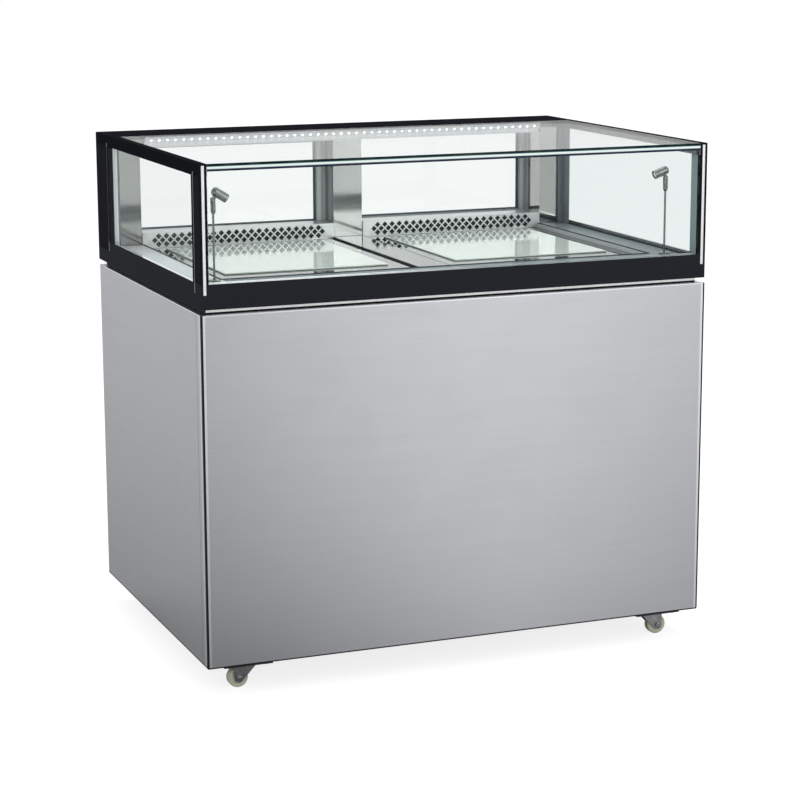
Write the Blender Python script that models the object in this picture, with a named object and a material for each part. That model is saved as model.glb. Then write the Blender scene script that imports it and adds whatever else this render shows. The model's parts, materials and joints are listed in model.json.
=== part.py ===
"""Refrigerated glass display counter on swivel casters, modelled as separate pieces.

Metres, +Z up. The origin is on the floor below the middle of the cabinet.
The customer's side faces -Y, and left means -X.
"""
from math import cos, pi, radians, sin, tan

import bmesh
import bpy
from mathutils import Matrix, Vector

# Overall sizes
WIDTH = 1.000
DEPTH = 0.700
FLOOR_CLEARANCE = 0.056
BASE_HEIGHT = 0.644
NECK_HEIGHT = 0.010
CASE_HEIGHT = 0.256

# Fits
CLEARANCE = 0.0003
OVERLAP = 0.002
REACH = 0.050

# Base cabinet
SHEET = 0.0015
FLANGE = 0.020
FLANGE_NOTCH = 0.002
HEM = 0.003
CORNER_GAP = 0.0025
SEAM_SETBACK = 0.033
SEAM_WIDTH = 0.0012
SEAM_DEPTH = 0.0007
REAR_SETBACK = 0.005
FRAME_BAR = 0.025
BASE_PLATE = 0.003
LOUVRE_SHARE = 0.80
LOUVRE_SLOT = 0.008
LOUVRE_PITCH = 0.026
LOUVRE_ROWS = 10
LOUVRE_COLUMNS = 4
LOUVRE_END_GAP = 0.048
NECK_INSET_SIDE = 0.012
NECK_INSET_FRONT = 0.016

# Insulated tub
TUB_WALL = 0.035
TUB_DEPTH = 0.180
TUB_AIR_GAP = 0.008
TUB_RIM_SEAT = 0.005
DRAIN_OUTER = 0.012
DRAIN_BORE = 0.008
DRAIN_LENGTH = 0.380
DRAIN_OFF_CENTRE = 0.050
DRAIN_SETBACK = 0.115
PIPE_PORT = 0.0085

# Cooling machinery
COMPRESSOR_RADIUS = 0.075
COMPRESSOR_HEIGHT = 0.190
COMPRESSOR_SIDE_SETBACK = 0.233
COMPRESSOR_OFF_CENTRE = 0.020
COMPRESSOR_FOOT_X = 0.180
COMPRESSOR_FOOT_Y = 0.120
COMPRESSOR_FOOT = 0.006
COMPRESSOR_PROFILE_SHARE = ((0.70, 0.02), (0.95, 0.12), (1.00, 0.20), (1.00, 0.68), (0.95, 0.80),
                            (0.72, 0.93), (0.35, 0.99))
STUB_RADIUS = 0.007
STUB_LENGTH = 0.020
STUB_RISE = 0.120
PIPE_RADIUS = 0.005
PIPE_BEND = 0.030
COIL_WIDTH = 0.320
COIL_DEPTH = 0.060
COIL_HEIGHT = 0.260
COIL_SIDE_SETBACK = 0.113
COIL_REAR_SETBACK = 0.058
FIN_GROOVE = 0.010
FIN_PITCH = 0.030
FIN_GROOVE_DEPTH = 0.004
FAN_FRAME = 0.260
FAN_FRAME_DEPTH = 0.040
FAN_OPENING = 0.115
FAN_TIP_GAP = 0.005
FAN_HUB = 0.035
FAN_HUB_LENGTH = 0.022
FAN_MOTOR = 0.030
FAN_MOTOR_LENGTH = 0.016
FAN_STRUT = 0.012
FAN_SHAFT = 0.004
FAN_BLADES = 5
BLADE_CHORD = 0.046
BLADE_THICKNESS = 0.0025
BLADE_PITCH = 28.0
EVAPORATOR_WIDTH = 0.560
EVAPORATOR_DEPTH = 0.160
EVAPORATOR_HEIGHT = 0.110
EVAPORATOR_SIDE_SETBACK = 0.070
EVAPORATOR_REAR_SETBACK = 0.025
TUB_FAN_FRAME = 0.120
TUB_FAN_DEPTH = 0.034
TUB_FAN_OPENING = 0.054
TUB_FAN_HUB = 0.020
TUB_FAN_HUB_LENGTH = 0.018
TUB_FAN_MOTOR = 0.018
TUB_FAN_MOTOR_LENGTH = 0.014
TUB_BLADE_CHORD = 0.024
CONTROL_SIDE_SETBACK = 0.173
CONTROL_DROP = 0.052
CONTROL_BAND = 0.112
CONTROL_WIDTH = 0.140
CONTROL_HEIGHT = 0.044
CONTROL_PLATE = 0.003
CONTROL_BODY_DEPTH = 0.050
CONTROL_BORDER = 0.006
ROCKER_OFFSET = 0.048
ROCKER_WIDTH = 0.012
ROCKER_HEIGHT = 0.022
ROCKER_DEPTH = 0.008
ROCKER_PROUD = 0.0010
ROCKER_SINK = 0.0012
ROCKER_PLAY = 0.0012
ROCKER_ANGLE = 8.0
ROCKER_PIVOT = 0.0015
ROCKER_STUB = 0.002
INLET_SIDE_SETBACK = 0.113
INLET_WIDTH = 0.050
INLET_HEIGHT = 0.028
INLET_PLATE = 0.003
INLET_BORDER = 0.004
INLET_WALL = 0.002
INLET_DEPTH = 0.035

# Showcase frame and glass
SILL_HEIGHT = 0.026
BAND_HEIGHT = 0.019
TOP_RAIL_HEIGHT = 0.012
TOP_RAIL_WIDTH = 0.019
TOP_UPSTAND = 0.015
TOP_GLASS = 0.010
FRONT_GLASS = 0.010
SIDE_GLASS = 0.010
FRONT_POST_WIDTH = 0.015
FRONT_POST_DEPTH = 0.034
REAR_DEPTH = 0.100
REAR_POST_DEPTH = 0.0487
REAR_POST_REACH = 0.065
CENTRE_POST_WIDTH = 0.062
CHEEK = 0.016
CHEEK_DEPTH = 0.083
LIGHT_BAR_END_GAP = 0.005
LIGHT_BAR_DEPTH = 0.014
LIGHT_BAR_HEIGHT = 0.011
LIGHT_BAR_FACE = 0.0037

# Sliding doors
DOOR_THICKNESS = 0.018
DOOR_PLAY = 0.00125
DOOR_END_GAP = 0.022
DOOR_MEETING_GAP = 0.018
DOOR_STILE = 0.040
DOOR_BOTTOM_RAIL = 0.034
DOOR_TOP_RAIL = 0.014
DOOR_LIFT = 0.003
DOOR_GLASS = 0.006
DOOR_GROOVE = 0.008
DOOR_GLASS_EDGE = 0.0005
FINGER_PULL_WIDTH = 0.014
FINGER_PULL_HEIGHT = 0.070
FINGER_PULL_DEPTH = 0.005
TRACK_FIN = 0.002
TRACK_BOTTOM_HEIGHT = 0.008
TRACK_TOP_HEIGHT = 0.014
TRACK_REAR_EDGE = 0.003

# Deck, grilles and ledge
DECK_RISE = 0.029
DECK_BAR_RISE = 0.003
TRAY_HEIGHT = 0.006
SILL_WIDTH = 0.070
DECK_LIP = 0.012
DECK_SETBACK = 0.101
PANEL_SIDE_MARGIN = 0.0375
PANEL_FRONT_MARGIN = 0.099
PANEL_REAR_MARGIN = 0.036
PANEL_RISE = 0.003
PANEL_BEVEL = 0.0006
LEDGE_RISE = 0.011
GRILLE_RISE = 0.032
GRILLE_STEP = 0.0025
GRILLE_END_GAP = 0.001
DIAMOND_PITCH = 0.016
DIAMOND_WIDTH = 0.0125
DIAMOND_ROWS = 3
DIAMOND_MARGIN = 0.004
AIR_SLOT_END_GAP = 0.015
AIR_SLOT_SETBACK = 0.004
AIR_SLOT_DEPTH = 0.024

# Spotlights
SPOT_SETBACK = 0.080
LEFT_SPOT_SIDE_GAP = 0.050
RIGHT_SPOT_SIDE_GAP = 0.045
LEFT_SPOT_TILT = 32.0
RIGHT_SPOT_TILT = 20.0
SPOT_BASE_RADIUS = 0.011
SPOT_BASE_HEIGHT = 0.004
SPOT_BASE_TOP_RADIUS = 0.0088
SPOT_POLE_RADIUS = 0.002
SPOT_POLE_LENGTH = 0.117
SPOT_SPIGOT = 0.012
SPOT_SLEEVE_RADIUS = 0.0046
SPOT_SLEEVE_LENGTH = 0.029
SPOT_SLEEVE_TAPER = 0.004
SPOT_SLOT = 0.0040
SPOT_SLOT_DEPTH = 0.010
SPOT_PIVOT_DROP = 0.0035
SPOT_PIN_RADIUS = 0.0012
SPOT_TONGUE_WIDTH = 0.006
SPOT_TONGUE_PLAY = 0.0003
SPOT_HEAD_RADIUS = 0.0085
SPOT_HEAD_LENGTH = 0.030
SPOT_HEAD_BACK = 0.009
SPOT_HEAD_OFFSET = 0.0145
SPOT_HEAD_ROUND = 0.003
SPOT_LENS_RADIUS = 0.0065
SPOT_LENS_RECESS = 0.004

# Casters
CASTER_SIDE_SETBACK = 0.080
CASTER_SETBACK = 0.045
CASTER_PLATE_X = 0.093
CASTER_PLATE_Y = 0.070
CASTER_PLATE = 0.008
CASTER_TRAIL = 0.012
WHEEL_RADIUS = 0.019
WHEEL_WIDTH = 0.017
WHEEL_ROUND = 0.002
WHEEL_HUB_RADIUS = 0.009
WHEEL_HUB_PROUD = 0.001
AXLE_RADIUS = 0.0035
AXLE_HEAD_RADIUS = 0.0055
AXLE_HEAD = 0.002
FORK_SHEET = 0.0025
FORK_WHEEL_GAP = 0.0015
FORK_TOP_GAP = 0.002
FORK_TAIL = 0.020
FORK_CHEEK_RADIUS = 0.009
RACEWAY_RADIUS = 0.019
KINGPIN_RADIUS = 0.005
KINGPIN_HEAD_RADIUS = 0.0075
KINGPIN_HEAD = 0.0012

# Facets
ROUND = 20
FINE_ROUND = 16
SMALL_ROUND = 12
BEND_STEPS = 5
ARC_STEPS = 6
SMOOTH_ANGLE = 35.0

# Planes and levels that several pieces share
RIGHT = WIDTH / 2
LEFT = -RIGHT
BACK = DEPTH / 2
FRONT = -BACK
PANEL_BOTTOM = FLOOR_CLEARANCE
PANEL_TOP = PANEL_BOTTOM + BASE_HEIGHT
NECK_TOP = PANEL_TOP + NECK_HEIGHT
CASE_TOP = NECK_TOP + CASE_HEIGHT
REAR_FACE = BACK - REAR_SETBACK

CHASSIS_SIDE = RIGHT - SHEET - CLEARANCE
CHASSIS_FRONT = FRONT + SHEET + CLEARANCE
CHASSIS_BACK = REAR_FACE - SHEET - CLEARANCE
CHASSIS_BOTTOM = PANEL_BOTTOM + SHEET + CLEARANCE
CHASSIS_TOP = PANEL_TOP - SHEET - CLEARANCE
BAY_FLOOR = CHASSIS_BOTTOM + BASE_PLATE
BAY_SIDE = CHASSIS_SIDE - FRAME_BAR
BAY_FRONT = CHASSIS_FRONT + FRAME_BAR
BAY_BACK = CHASSIS_BACK - FRAME_BAR
BAY_TOP = CHASSIS_TOP - FRAME_BAR

TUB_SIDE = BAY_SIDE - TUB_AIR_GAP
TUB_FRONT = BAY_FRONT + TUB_AIR_GAP
TUB_BACK = BAY_BACK - TUB_AIR_GAP
TUB_BOTTOM = CHASSIS_TOP - TUB_DEPTH
DRAIN_X = DRAIN_OFF_CENTRE
DRAIN_Y = TUB_FRONT + DRAIN_SETBACK
TUB_FLOOR = TUB_BOTTOM + TUB_WALL
SERVICE_TOP = TUB_BOTTOM - CONTROL_BAND
RIM_SIDE = BAY_SIDE + TUB_RIM_SEAT
RIM_FRONT = BAY_FRONT - TUB_RIM_SEAT
RIM_BACK = BAY_BACK + TUB_RIM_SEAT
RIM_TOP = NECK_TOP - CLEARANCE
COMPRESSOR_X = BAY_SIDE - COMPRESSOR_SIDE_SETBACK
COMPRESSOR_Y = COMPRESSOR_OFF_CENTRE
COIL_X = -BAY_SIDE + COIL_SIDE_SETBACK + COIL_WIDTH / 2
COIL_Y = BAY_BACK - COIL_REAR_SETBACK - COIL_DEPTH / 2
EVAPORATOR_X = -TUB_SIDE + TUB_WALL + EVAPORATOR_SIDE_SETBACK + EVAPORATOR_WIDTH / 2
EVAPORATOR_Y = TUB_BACK - TUB_WALL - EVAPORATOR_REAR_SETBACK - EVAPORATOR_DEPTH / 2
CONTROL_X = BAY_SIDE - CONTROL_SIDE_SETBACK
CONTROL_Z = TUB_BOTTOM - CONTROL_DROP
INLET_X = -BAY_SIDE + INLET_SIDE_SETBACK
INLET_Z = CONTROL_Z

SILL_TOP = NECK_TOP + SILL_HEIGHT
BAND_TOP = SILL_TOP + BAND_HEIGHT
GLASS_TOP = CASE_TOP - TOP_GLASS
RAIL_BOTTOM = GLASS_TOP - TOP_RAIL_HEIGHT
POST_FRONT = BACK - REAR_DEPTH
POST_BACK = POST_FRONT + REAR_POST_DEPTH
POST_INNER = RIGHT - REAR_POST_REACH
CHEEK_FRONT = BACK - CHEEK_DEPTH
GLASS_INNER_FACE = FRONT + FRONT_GLASS
SIDE_INNER_FACE = RIGHT - SIDE_GLASS
POST_EDGE = RIGHT - FRONT_POST_WIDTH

TRACK_CHANNEL = DOOR_THICKNESS + 2 * DOOR_PLAY
TRACK_PITCH = TRACK_CHANNEL + TRACK_FIN
TRACK_FRONT = BACK - TRACK_REAR_EDGE - 2 * TRACK_PITCH - TRACK_FIN
TRACK_SIDE = RIGHT - CHEEK - CLEARANCE
DOOR_OUTER_EDGE = RIGHT - CHEEK - DOOR_END_GAP
DOOR_INNER_EDGE = DOOR_MEETING_GAP / 2
DOOR_BOTTOM = SILL_TOP + CLEARANCE
DOOR_TOP = RAIL_BOTTOM - DOOR_LIFT

DECK_TOP = NECK_TOP + DECK_RISE
DECK_FRONT = FRONT + DECK_SETBACK
TRAY_EDGE = RIGHT - SILL_WIDTH
BAR_EDGE = CENTRE_POST_WIDTH / 2
PANEL_INNER = BAR_EDGE + PANEL_SIDE_MARGIN
PANEL_OUTER = TRAY_EDGE - PANEL_SIDE_MARGIN
PANEL_FRONT = DECK_FRONT + PANEL_FRONT_MARGIN
PANEL_REAR = POST_FRONT - PANEL_REAR_MARGIN
AIR_SLOT_INNER = BAR_EDGE + AIR_SLOT_END_GAP
AIR_SLOT_OUTER = POST_INNER - AIR_SLOT_END_GAP
LIP_TOP = DECK_TOP - TRAY_HEIGHT - CLEARANCE
GRILLE_FRONT = POST_FRONT - GRILLE_STEP
TRAY_REAR = GRILLE_FRONT - CLEARANCE
LEDGE_TOP = SILL_TOP + LEDGE_RISE
GRILLE_TOP = DECK_TOP + GRILLE_RISE
SPOT_Y = FRONT + SPOT_SETBACK
LEFT_SPOT_X = LEFT + LEFT_SPOT_SIDE_GAP
RIGHT_SPOT_X = RIGHT - RIGHT_SPOT_SIDE_GAP

CASTER_X = RIGHT - CASTER_SIDE_SETBACK
PLATE_TOP = PANEL_BOTTOM - CLEARANCE
PLATE_PAD_TOP = CHASSIS_BOTTOM - CLEARANCE
PLATE_PAD_REACH = CASTER_SETBACK - FLANGE - CLEARANCE
PLATE_BOTTOM = PLATE_TOP - CASTER_PLATE
FORK_UNDERSIDE = 2 * WHEEL_RADIUS + FORK_TOP_GAP
FORK_TOP = FORK_UNDERSIDE + FORK_SHEET
RACEWAY_BOTTOM = FORK_TOP + CLEARANCE
FORK_INNER = WHEEL_WIDTH / 2 + FORK_WHEEL_GAP


# Finishes

def finish(name, colour, roughness, metallic=0.0, alpha=1.0):
    """Return a Principled material of one colour."""
    material = bpy.data.materials.new(name)
    material.use_nodes = True
    shader = material.node_tree.nodes["Principled BSDF"]
    shader.inputs["Base Color"].default_value = (*colour, 1.0)
    shader.inputs["Roughness"].default_value = roughness
    shader.inputs["Metallic"].default_value = metallic
    shader.inputs["Alpha"].default_value = alpha
    material.diffuse_color = (*colour, alpha)
    return material


FINISHES = {
    "brushed_steel": ((0.56, 0.57, 0.59), 0.38, 1.0, 1.0),
    "polished_steel": ((0.72, 0.73, 0.72), 0.08, 1.0, 1.0),
    "black_paint": ((0.018, 0.019, 0.021), 0.32, 0.0, 1.0),
    "dark_steel": ((0.05, 0.055, 0.06), 0.45, 0.6, 1.0),
    "foam_shell": ((0.75, 0.76, 0.74), 0.55, 0.0, 1.0),
    "copper": ((0.72, 0.36, 0.22), 0.35, 1.0, 1.0),
    "fins": ((0.62, 0.64, 0.66), 0.40, 0.9, 1.0),
    "black_plastic": ((0.025, 0.025, 0.027), 0.45, 0.0, 1.0),
    "clear_glass": ((0.86, 0.93, 0.90), 0.03, 0.0, 0.25),
    "white_glass": ((0.74, 0.79, 0.76), 0.08, 0.0, 1.0),
    "door_aluminium": ((0.36, 0.40, 0.43), 0.35, 0.9, 1.0),
    "deck_steel": ((0.48, 0.50, 0.50), 0.25, 1.0, 1.0),
    "satin_nickel": ((0.40, 0.42, 0.42), 0.30, 1.0, 1.0),
    "lamp_white": ((0.85, 0.87, 0.88), 0.35, 0.0, 1.0),
    "zinc": ((0.45, 0.46, 0.47), 0.35, 1.0, 1.0),
    "nylon": ((0.62, 0.64, 0.46), 0.40, 0.0, 1.0),
}


# Mesh helpers

def clear_scene():
    """Remove every object and material that the scene starts with."""
    for item in list(bpy.data.objects):
        bpy.data.objects.remove(item, do_unlink=True)
    for material in list(bpy.data.materials):
        bpy.data.materials.remove(material)


def add_box(bm, low, high):
    """Add a closed box between two corners."""
    corners = []
    for z in (low[2], high[2]):
        ring = [(low[0], low[1]), (high[0], low[1]), (high[0], high[1]), (low[0], high[1])]
        corners.append([bm.verts.new((x, y, z)) for x, y in ring])
    bottom, top = corners
    bm.faces.new(list(reversed(bottom)))
    bm.faces.new(top)
    for index in range(4):
        after = (index + 1) % 4
        bm.faces.new((bottom[index], bottom[after], top[after], top[index]))


def add_prism(bm, outline, start, end, axis):
    """Add an outline pushed along one axis: (y, z) for X, (x, z) for Y and (x, y) for Z."""
    order = {"X": (2, 0, 1), "Y": (0, 2, 1), "Z": (0, 1, 2)}[axis]

    def point(pair, height):
        values = (pair[0], pair[1], height)
        return tuple(values[index] for index in order)

    low = [bm.verts.new(point(pair, start)) for pair in outline]
    high = [bm.verts.new(point(pair, end)) for pair in outline]
    bm.faces.new(list(reversed(low)))
    bm.faces.new(high)
    count = len(outline)
    for index in range(count):
        after = (index + 1) % count
        bm.faces.new((low[index], low[after], high[after], high[index]))


def add_turned(bm, profile, segments, turn=None):
    """Add a solid turned about Z from (radius, height) points, then turn it by a matrix."""
    turn = turn or Matrix.Identity(4)
    rings = []
    for radius, height in profile:
        if radius == 0.0:
            rings.append([bm.verts.new(turn @ Vector((0.0, 0.0, height)))])
            continue
        ring = []
        for index in range(segments):
            angle = 2 * pi * index / segments
            place = Vector((radius * cos(angle), radius * sin(angle), height))
            ring.append(bm.verts.new(turn @ place))
        rings.append(ring)
    pairs = list(zip(rings, rings[1:]))
    if profile[0][0] > 0.0:
        pairs.append((rings[-1], rings[0]))
    for first, second in pairs:
        for index in range(segments):
            after = (index + 1) % segments
            corners = [first[index % len(first)], first[after % len(first)],
                       second[after % len(second)], second[index % len(second)]]
            face = list(dict.fromkeys(corners))
            if len(face) > 2:
                bm.faces.new(face)


def add_rod(bm, radius, start, end, segments, turn=None):
    """Add a plain round rod along Z between two heights."""
    add_turned(bm, [(0.0, start), (radius, start), (radius, end), (0.0, end)], segments, turn)


def add_pipe(bm, corners, radius, bend, segments):
    """Add a round pipe along straight runs joined by equal bends."""
    path = bent_path([Vector(corner) for corner in corners], bend)
    rings = []
    side = None
    for index, centre in enumerate(path):
        ahead = path[min(index + 1, len(path) - 1)]
        behind = path[max(index - 1, 0)]
        along = (ahead - behind).normalized()
        if side is None:
            side = along.orthogonal().normalized()
        side = (side - along * side.dot(along)).normalized()
        across = along.cross(side)
        ring = []
        for step in range(segments):
            angle = 2 * pi * step / segments
            ring.append(bm.verts.new(centre + radius * (cos(angle) * side + sin(angle) * across)))
        rings.append(ring)
    bm.faces.new(list(reversed(rings[0])))
    bm.faces.new(rings[-1])
    for first, second in zip(rings, rings[1:]):
        for index in range(segments):
            after = (index + 1) % segments
            bm.faces.new((first[index], first[after], second[after], second[index]))


def bent_path(corners, bend):
    """Return the points of a path whose inner corners are rounded to one radius."""
    path = [corners[0]]
    for before, corner, after in zip(corners, corners[1:], corners[2:]):
        inward = (before - corner).normalized()
        outward = (after - corner).normalized()
        half = inward.angle(outward) / 2
        start = corner + inward * (bend / tan(half))
        centre = corner + (inward + outward).normalized() * (bend / sin(half))
        spoke = start - centre
        normal = inward.cross(outward).normalized()
        sweep = pi - 2 * half
        for step in range(BEND_STEPS + 1):
            turn = Matrix.Rotation(-sweep * step / BEND_STEPS, 3, normal)
            path.append(centre + turn @ spoke)
    path.append(corners[-1])
    return path


def arc(centre, radius, start, end, steps):
    """Return points of a plane arc between two angles in degrees."""
    points = []
    for step in range(steps + 1):
        angle = radians(start + (end - start) * step / steps)
        points.append((centre[0] + radius * cos(angle), centre[1] + radius * sin(angle)))
    return points


def link(name, bm, place):
    """Put a mesh in the scene under a name."""
    bmesh.ops.recalc_face_normals(bm, faces=bm.faces)
    mesh = bpy.data.meshes.new(name)
    bm.to_mesh(mesh)
    bm.free()
    piece = bpy.data.objects.new(name, mesh)
    piece.matrix_world = place or Matrix.Identity(4)
    bpy.context.collection.objects.link(piece)
    return piece


def make(name, look, build, place=None, smooth=False):
    """Make one named piece from a function that fills its mesh."""
    bm = bmesh.new()
    build(bm)
    piece = link(name, bm, place)
    piece.data.materials.append(MATERIALS[look])
    if smooth:
        piece.data.shade_smooth()
        piece.data.set_sharp_from_angle(angle=radians(SMOOTH_ANGLE))
    return piece


def shape(piece, operation, build):
    """Cut from a piece, or fuse to it, the mesh that a function fills."""
    bm = bmesh.new()
    build(bm)
    tool = link(piece.name + "_" + operation.lower() + str(len(piece.modifiers)), bm, piece.matrix_world)
    tool.hide_render = True
    tool.display_type = "WIRE"
    modifier = piece.modifiers.new(tool.name, "BOOLEAN")
    modifier.operation = operation
    modifier.solver = "EXACT"
    modifier.object = tool


def cut_box(piece, low, high):
    """Cut a box out of a piece."""
    shape(piece, "DIFFERENCE", lambda bm: add_box(bm, low, high))


def fuse_box(piece, low, high):
    """Fuse a box to a piece."""
    shape(piece, "UNION", lambda bm: add_box(bm, low, high))


def box_piece(name, look, low, high):
    """Make a piece that starts as a box."""
    return make(name, look, lambda bm: add_box(bm, low, high))


def mirrored(side, inner, outer):
    """Return a low and a high X for one side, from two distances off the middle."""
    return tuple(sorted((side * inner, side * outer)))


SIDES = (("left", -1), ("right", 1))


# Base cabinet

def chassis():
    """Welded frame: base plate, four corner posts and a ring of rails on top."""
    frame = box_piece("chassis_frame", "dark_steel",
                      (-CHASSIS_SIDE, CHASSIS_FRONT, CHASSIS_BOTTOM),
                      (CHASSIS_SIDE, CHASSIS_BACK, CHASSIS_TOP))
    cut_box(frame, (-BAY_SIDE, CHASSIS_FRONT - REACH, BAY_FLOOR), (BAY_SIDE, CHASSIS_BACK + REACH, BAY_TOP))
    cut_box(frame, (-CHASSIS_SIDE - REACH, BAY_FRONT, BAY_FLOOR), (CHASSIS_SIDE + REACH, BAY_BACK, BAY_TOP))
    cut_box(frame, (-BAY_SIDE, BAY_FRONT, BAY_FLOOR), (BAY_SIDE, BAY_BACK, CHASSIS_TOP + REACH))


def flanged_panel(name, face, inward, bottom, top, half_width, hem, flanged_bottom, flanged_top):
    """Sheet panel square to Y, with flanges turned in over the frame at its flanged edges."""
    tip = face + inward * FLANGE
    near, far = sorted((face, tip))
    panel = box_piece(name, "brushed_steel", (-half_width, near, bottom), (half_width, far, top))
    hollow = sorted((face + inward * SHEET, tip + inward * REACH))
    low = bottom + (SHEET if flanged_bottom else -REACH)
    high = top - (SHEET if flanged_top else -REACH)
    cut_box(panel, (SHEET - half_width, hollow[0], low), (half_width - SHEET, hollow[1], high))
    notch = sorted((face + inward * hem, tip + inward * REACH))
    for side in (-1, 1):
        across = mirrored(side, RIGHT - FLANGE - FLANGE_NOTCH, RIGHT + REACH)
        cut_box(panel, (across[0], notch[0], bottom - REACH), (across[1], notch[1], top + REACH))
    return panel


def front_panel():
    """Plain front panel with a short hem at each end."""
    flanged_panel("front_panel", FRONT, 1, PANEL_BOTTOM, PANEL_TOP, RIGHT, HEM, True, True)


def side_panels():
    """Side panels with flanges top and bottom and a folded seam behind the front edge."""
    for word, side in SIDES:
        across = mirrored(side, RIGHT - FLANGE, RIGHT)
        start = FRONT + HEM + CORNER_GAP
        panel = box_piece(word + "_side_panel", "brushed_steel",
                          (across[0], start, PANEL_BOTTOM), (across[1], REAR_FACE, PANEL_TOP))
        hollow = mirrored(side, RIGHT - FLANGE - REACH, RIGHT - SHEET)
        cut_box(panel, (hollow[0], FRONT - REACH, PANEL_BOTTOM + SHEET),
                (hollow[1], BACK + REACH, PANEL_TOP - SHEET))
        cut_box(panel, (hollow[0], CHASSIS_BACK, PANEL_BOTTOM - REACH),
                (hollow[1], BACK + REACH, PANEL_TOP + REACH))
        groove = mirrored(side, RIGHT - SEAM_DEPTH, RIGHT + REACH)
        seam = FRONT + SEAM_SETBACK
        cut_box(panel, (groove[0], seam - SEAM_WIDTH / 2, PANEL_BOTTOM - REACH),
                (groove[1], seam + SEAM_WIDTH / 2, PANEL_TOP + REACH))


def rear_panel():
    """Back panel over the tub, with cut-outs for the controls and the mains inlet."""
    panel = flat_rear_sheet("rear_panel", SERVICE_TOP + CLEARANCE, PANEL_TOP, False, True)
    for x, z, width, height, border in (
            (CONTROL_X, CONTROL_Z, CONTROL_WIDTH, CONTROL_HEIGHT, CONTROL_BORDER),
            (INLET_X, INLET_Z, INLET_WIDTH, INLET_HEIGHT, INLET_BORDER)):
        half_width = width / 2 - border + CLEARANCE
        half_height = height / 2 - border + CLEARANCE
        cut_box(panel, (x - half_width, REAR_FACE - FLANGE, z - half_height),
                (x + half_width, REAR_FACE + REACH, z + half_height))


def flat_rear_sheet(name, bottom, top, flanged_bottom, flanged_top):
    """Back sheet between the side panels."""
    return flanged_panel(name, REAR_FACE, -1, bottom, top, CHASSIS_SIDE, SHEET, flanged_bottom, flanged_top)


def service_grille():
    """Louvred lower back panel in front of the cooling machinery."""
    grille = flat_rear_sheet("service_grille", PANEL_BOTTOM, SERVICE_TOP, True, False)
    spacing = 2 * (RIGHT - LOUVRE_END_GAP) / LOUVRE_COLUMNS
    half = spacing * LOUVRE_SHARE / 2
    first_x = -spacing * (LOUVRE_COLUMNS - 1) / 2
    middle = (PANEL_BOTTOM + SERVICE_TOP) / 2
    first_z = middle - LOUVRE_PITCH * (LOUVRE_ROWS - 1) / 2

    def slots(bm):
        for column in range(LOUVRE_COLUMNS):
            x = first_x + column * spacing
            for row in range(LOUVRE_ROWS):
                z = first_z + row * LOUVRE_PITCH
                add_box(bm, (x - half, REAR_FACE - HEM, z - LOUVRE_SLOT / 2),
                        (x + half, REAR_FACE + REACH, z + LOUVRE_SLOT / 2))

    shape(grille, "DIFFERENCE", slots)


def neck():
    """Recessed ring between the base and the showcase, round the rim of the tub."""
    ring = box_piece("neck_plinth", "black_paint",
                     (LEFT + NECK_INSET_SIDE, FRONT + NECK_INSET_FRONT, PANEL_TOP + CLEARANCE),
                     (RIGHT - NECK_INSET_SIDE, BACK - NECK_INSET_SIDE, RIM_TOP))
    cut_box(ring, (-RIM_SIDE - CLEARANCE, RIM_FRONT - CLEARANCE, PANEL_TOP - REACH),
            (RIM_SIDE + CLEARANCE, RIM_BACK + CLEARANCE, RIM_TOP + REACH))


# Cooling

def tub():
    """Insulated tub that hangs by its rim in the frame, with a drain pipe and a pipe port."""
    body = box_piece("insulated_tub", "foam_shell",
                     (-RIM_SIDE, RIM_FRONT, CHASSIS_TOP + CLEARANCE), (RIM_SIDE, RIM_BACK, RIM_TOP))
    fuse_box(body, (-TUB_SIDE, TUB_FRONT, TUB_BOTTOM), (TUB_SIDE, TUB_BACK, CHASSIS_TOP + OVERLAP))
    drain = Matrix.Translation((DRAIN_X, DRAIN_Y, 0.0))
    foot = TUB_BOTTOM - DRAIN_LENGTH
    shape(body, "UNION",
          lambda bm: add_rod(bm, DRAIN_OUTER, foot, TUB_BOTTOM + OVERLAP, FINE_ROUND, drain))
    cut_box(body, (TUB_WALL - TUB_SIDE, TUB_FRONT + TUB_WALL, TUB_FLOOR),
            (TUB_SIDE - TUB_WALL, TUB_BACK - TUB_WALL, RIM_TOP + REACH))
    shape(body, "DIFFERENCE",
          lambda bm: add_rod(bm, DRAIN_BORE, foot - REACH, TUB_FLOOR + REACH, FINE_ROUND, drain))
    port = Matrix.Translation((suction_riser_x(), COMPRESSOR_Y, 0.0))
    shape(body, "DIFFERENCE",
          lambda bm: add_rod(bm, PIPE_PORT, TUB_BOTTOM - REACH, TUB_FLOOR + REACH, FINE_ROUND, port))


def stub_height():
    """Height of the compressor's pipe stubs."""
    return BAY_FLOOR + CLEARANCE + STUB_RISE


def suction_riser_x():
    """X of the suction line where it rises through the tub floor."""
    return COMPRESSOR_X + COMPRESSOR_RADIUS + STUB_LENGTH + 2 * PIPE_BEND


def compressor():
    """Domed compressor on a foot plate, with one pipe stub on each side."""
    floor = BAY_FLOOR + CLEARANCE
    height = COMPRESSOR_HEIGHT
    radius = COMPRESSOR_RADIUS
    place = Matrix.Translation((COMPRESSOR_X, COMPRESSOR_Y, floor))
    dome = [(share * radius, rise * height) for share, rise in COMPRESSOR_PROFILE_SHARE]
    dome = [(0.0, dome[0][1])] + dome + [(0.0, height)]
    body = make("compressor", "black_paint", lambda bm: add_turned(bm, dome, ROUND), place, True)
    fuse_box(body, (-COMPRESSOR_FOOT_X / 2, -COMPRESSOR_FOOT_Y / 2, 0.0),
             (COMPRESSOR_FOOT_X / 2, COMPRESSOR_FOOT_Y / 2, COMPRESSOR_FOOT))
    level = Matrix.Translation((0.0, 0.0, STUB_RISE)) @ Matrix.Rotation(pi / 2, 4, "Y")
    tip = radius + STUB_LENGTH
    shape(body, "UNION", lambda bm: add_rod(bm, STUB_RADIUS, -tip, tip, SMALL_ROUND, level))


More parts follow.
